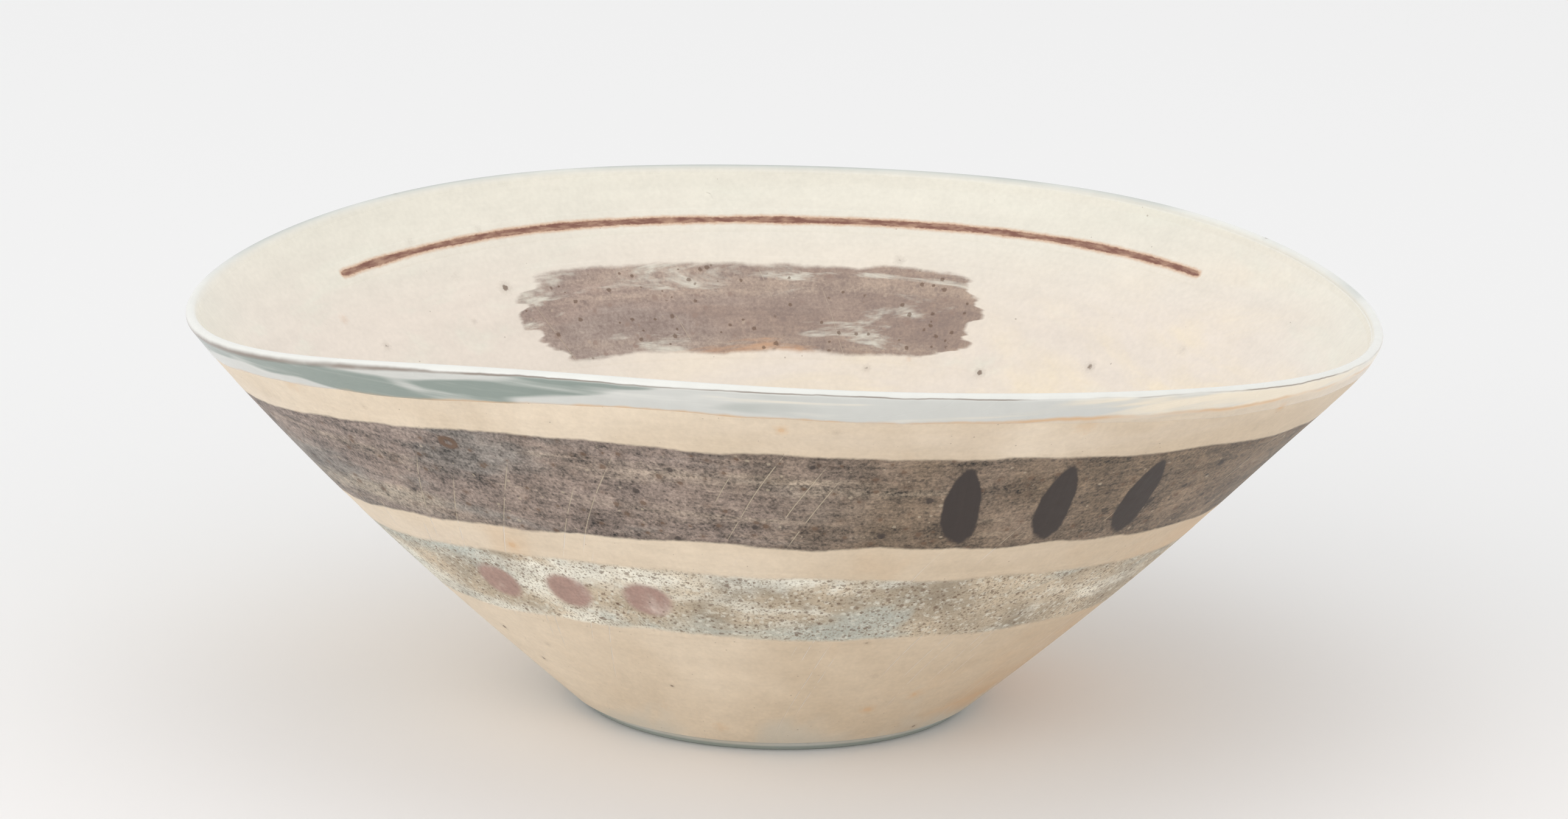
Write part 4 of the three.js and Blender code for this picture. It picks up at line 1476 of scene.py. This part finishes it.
class BOWL_OT_foot(bpy.types.Operator):
    """Turns the foot ring and lays the glaze in the angle above it and under the floor"""

    bl_idname = "bowl.foot"
    bl_label = "Foot"

    def execute(self, context):
        sizes = context.scene.bowl_sizes
        self.turn_ring(sizes)
        self.lay_cove(sizes)
        self.glaze_under(sizes)
        return {"FINISHED"}

    def turn_ring(self, sizes):
        outer = sizes.foot_radius - sizes.glaze_thickness - sizes.layer_clearance
        inner = sizes.foot_inner_radius
        rounding = sizes.foot_rounding
        rows = [ring_row(inner, sizes.base_height), ring_row(outer, sizes.base_height)]
        turns = np.linspace(0.0, math.pi / 2, FOOT_ROUNDING_ROWS)
        for turn in turns:
            rows.append(ring_row(outer - rounding * (1 - math.cos(turn)), rounding * (1 - math.sin(turn))))
        for turn in turns:
            rows.append(ring_row(inner + rounding * (1 - math.sin(turn)), rounding * (1 - math.cos(turn))))
        clad("foot_ring", "porcelain", porcelain, rows)

    def lay_cove(self, sizes):
        seat = sizes.foot_radius - sizes.glaze_thickness
        reach = sizes.foot_cove_reach
        low = sizes.bare_foot_height
        top_edge = sizes.glaze_thickness * 0.3
        edge_step = 0.15 * MM
        belly = 0.2 * MM
        span = sizes.base_height - low - top_edge
        rows = [ring_row(seat, sizes.base_height), ring_row(seat, low)]
        for part in np.linspace(0.0, 1.0, COVE_ROWS):
            swell = reach * part**3 + belly * math.sin(math.pi * part)
            rows.append(ring_row(sizes.foot_radius - edge_step * (1 - part) + swell, low + span * part))
        rows.append(ring_row(sizes.foot_radius + reach, sizes.base_height))
        clad("foot_glaze", "pale_glaze", foot_glaze, rows)

    def glaze_under(self, sizes):
        room = 0.25 * MM
        side_height = 0.1 * MM
        rounding = 0.3 * MM
        border = 1.5 * MM
        sinking = 0.08 * MM
        radius = sizes.foot_inner_radius - room
        low = sizes.foot_recess
        high = low + sizes.glaze_thickness
        hollow = low + sinking
        rows = [
            ring_row(0.0, high),
            ring_row(radius, high),
            ring_row(radius, low + side_height),
            ring_row(radius - rounding, low),
            ring_row(radius - border, hollow),
            ring_row(radius * 0.5, hollow),
            ring_row(0.0, hollow),
        ]
        clad("underside_glaze", "pale_glaze", foot_glaze, rows, closed=False)


class BOWL_OT_bands(bpy.types.Operator):
    """Brushes the grey and the sandy band round the outside"""

    bl_idname = "bowl.bands"
    bl_label = "Outside Bands"

    def execute(self, context):
        stroke("grey_slip_band", "grey_slip", grey_band, OUTSIDE, "grey_band", grid=(380, 24))
        stroke("sand_slip_band", "sand_slip", sand_band, OUTSIDE, "sand_band", grid=(380, 20))
        return {"FINISHED"}


class BOWL_OT_inside_strokes(bpy.types.Operator):
    """Brushes the grey arc and the iron line inside"""

    bl_idname = "bowl.inside_strokes"
    bl_label = "Inside Strokes"

    def execute(self, context):
        stroke("inside_grey_arc", "grey_slip", inside_arc, INSIDE, "arc", grid=(110, 24))
        stroke("inside_iron_line", "iron_slip", iron_slip, INSIDE, "line", grid=(300, 8))
        return {"FINISHED"}


class BOWL_OT_marks(bpy.types.Operator):
    """Presses the dark dabs and the pink dots on the bands"""

    bl_idname = "bowl.marks"
    bl_label = "Dabs and Dots"

    def execute(self, context):
        marks("dark_slip_dab", "dark_slip", dark_slip, "dab")
        marks("pink_slip_dot", "pink_slip", pink_slip, "dot")
        return {"FINISHED"}


class BOWL_OT_stage(bpy.types.Operator):
    """Sets the pale floor, the soft lamps and the camera"""

    bl_idname = "bowl.stage"
    bl_label = "Stage"

    def execute(self, context):
        stage = context.scene.bowl_stage
        self.lay_floor(context, stage)
        self.light_world(context, stage)
        self.hang_lamps(context, stage)
        self.set_camera(context, stage)
        context.scene.view_settings.view_transform = "Standard"
        return {"FINISHED"}

    def lay_floor(self, context, stage):
        half = stage.floor_half
        mesh = bpy.data.meshes.new("floor")
        corners = [(-half, -half, 0), (half, -half, 0), (half, half, 0), (-half, half, 0)]
        mesh.from_pydata(corners, [], [(0, 1, 2, 3)])
        material, bench = bare_material("floor")
        # Painted light: the floor turns lighter from behind the bowl to in front of it, which lifts the
        # bowl's shadow
        soft = bench.place.noise(6)
        back = (soft * 0.1 + bench.place.split().y).rise(-0.1, 0.2)
        floor_colour = bench.mix(back, stage.floor_near, stage.floor_far)
        inputs = {"Base Color": floor_colour, "Roughness": 0.85, "Specular IOR Level": 0.2}
        shader = bench.take("ShaderNodeBsdfPrincipled", inputs)
        bench.put("ShaderNodeOutputMaterial", {"Surface": shader})
        mesh.materials.append(material)
        floor = bpy.data.objects.new("floor", mesh)
        context.scene.collection.objects.link(floor)

    def light_world(self, context, stage):
        world = bpy.data.worlds.new("studio")
        context.scene.world = world
        world.use_nodes = True
        world.node_tree.nodes.clear()
        bench = Bench(world.node_tree)
        path = bench.outputs("ShaderNodeLightPath")
        seen = bench.maths("MAXIMUM", path.is_camera_ray, path.is_transmission_ray)
        seen = bench.maths("MAXIMUM", seen, path.is_glossy_ray)
        inputs = {"Color": (1, 1, 1, 1), "Strength": stage.sky_level}
        light = bench.take("ShaderNodeBackground", inputs)
        view = bench.take("ShaderNodeBackground", {"Color": stage.backdrop, "Strength": 1.0})
        both = bench.take("ShaderNodeMixShader", (seen, light, view))
        bench.put("ShaderNodeOutputWorld", {"Surface": both})

    def hang_lamps(self, context, stage):
        lamps = (
            ("key", stage.key_power, (-1.1, -1.0, 1.3), 1.2),
            ("fill", stage.fill_power, (-1.4, -1.1, 0.35), 1.0),
            ("low", stage.low_power, (1.4, -0.9, 0.25), 1.0),
            ("top", stage.top_power, (0.1, 0.3, 1.7), 1.6),
        )
        for name, power, spot, size in lamps:
            lamp = bpy.data.lights.new(name, "AREA")
            lamp.energy = power
            lamp.shape = "SQUARE"
            lamp.size = size
            holder = bpy.data.objects.new(name, lamp)
            holder.location = spot
            aim = Vector(stage.lamp_target) - Vector(spot)
            holder.rotation_euler = aim.to_track_quat("-Z", "Y").to_euler()
            context.scene.collection.objects.link(holder)

    def set_camera(self, context, stage):
        data = bpy.data.cameras.new("camera")
        data.lens = stage.camera_lens
        data.sensor_width = stage.camera_sensor
        camera = bpy.data.objects.new("camera", data)
        tilt = stage.camera_tilt
        back = Vector((0.0, -math.cos(tilt), math.sin(tilt))) * stage.camera_distance
        looking = Euler((math.pi / 2 - tilt, 0.0, 0.0)).to_matrix()
        turned = (looking @ Matrix.Rotation(stage.camera_roll, 3, "Z")).to_4x4()
        camera.matrix_world = Matrix.Translation(Vector(stage.camera_target) + back) @ turned
        context.scene.collection.objects.link(camera)
        context.scene.camera = camera


class BOWL_PT_panel(bpy.types.Panel):
    """Lists the bowl's settings and the operators that build it."""

    bl_idname = "BOWL_PT_panel"
    bl_label = "Oval Porcelain Bowl"
    bl_space_type = "VIEW_3D"
    bl_region_type = "UI"
    bl_category = "Bowl"

    def draw(self, context):
        for group in GROUPS:
            box = self.layout.box()
            settings = getattr(context.scene, group)
            for key in settings.__annotations__:
                box.prop(settings, key)
        for operator in OPERATORS:
            self.layout.operator(operator.bl_idname)


GROUPS = {
    "bowl_sizes": BowlSizes,
    "bowl_brushwork": BowlBrushwork,
    "bowl_colours": BowlColours,
    "bowl_stage": BowlStage,
}
OPERATORS = (
    BOWL_OT_stage,
    BOWL_OT_body,
    BOWL_OT_liner,
    BOWL_OT_coat,
    BOWL_OT_foot,
    BOWL_OT_bands,
    BOWL_OT_marks,
    BOWL_OT_inside_strokes,
    BOWL_OT_rim,
)


def register():
    for name, group in GROUPS.items():
        bpy.utils.register_class(group)
        setattr(bpy.types.Scene, name, PointerProperty(type=group))
    for operator in OPERATORS:
        bpy.utils.register_class(operator)
    bpy.utils.register_class(BOWL_PT_panel)


def unregister():
    bpy.utils.unregister_class(BOWL_PT_panel)
    for operator in reversed(OPERATORS):
        bpy.utils.unregister_class(operator)
    for name, group in GROUPS.items():
        delattr(bpy.types.Scene, name)
        bpy.utils.unregister_class(group)


def main():
    register()
    bpy.ops.bowl.stage()
    bpy.ops.bowl.body()
    bpy.ops.bowl.liner()
    bpy.ops.bowl.coat()
    bpy.ops.bowl.foot()
    bpy.ops.bowl.bands()
    bpy.ops.bowl.marks()
    bpy.ops.bowl.inside_strokes()
    bpy.ops.bowl.rim()
    bpy.data.objects.remove(lip_line())
    lip_line.cache_clear()


if __name__ == "__main__":
    main()
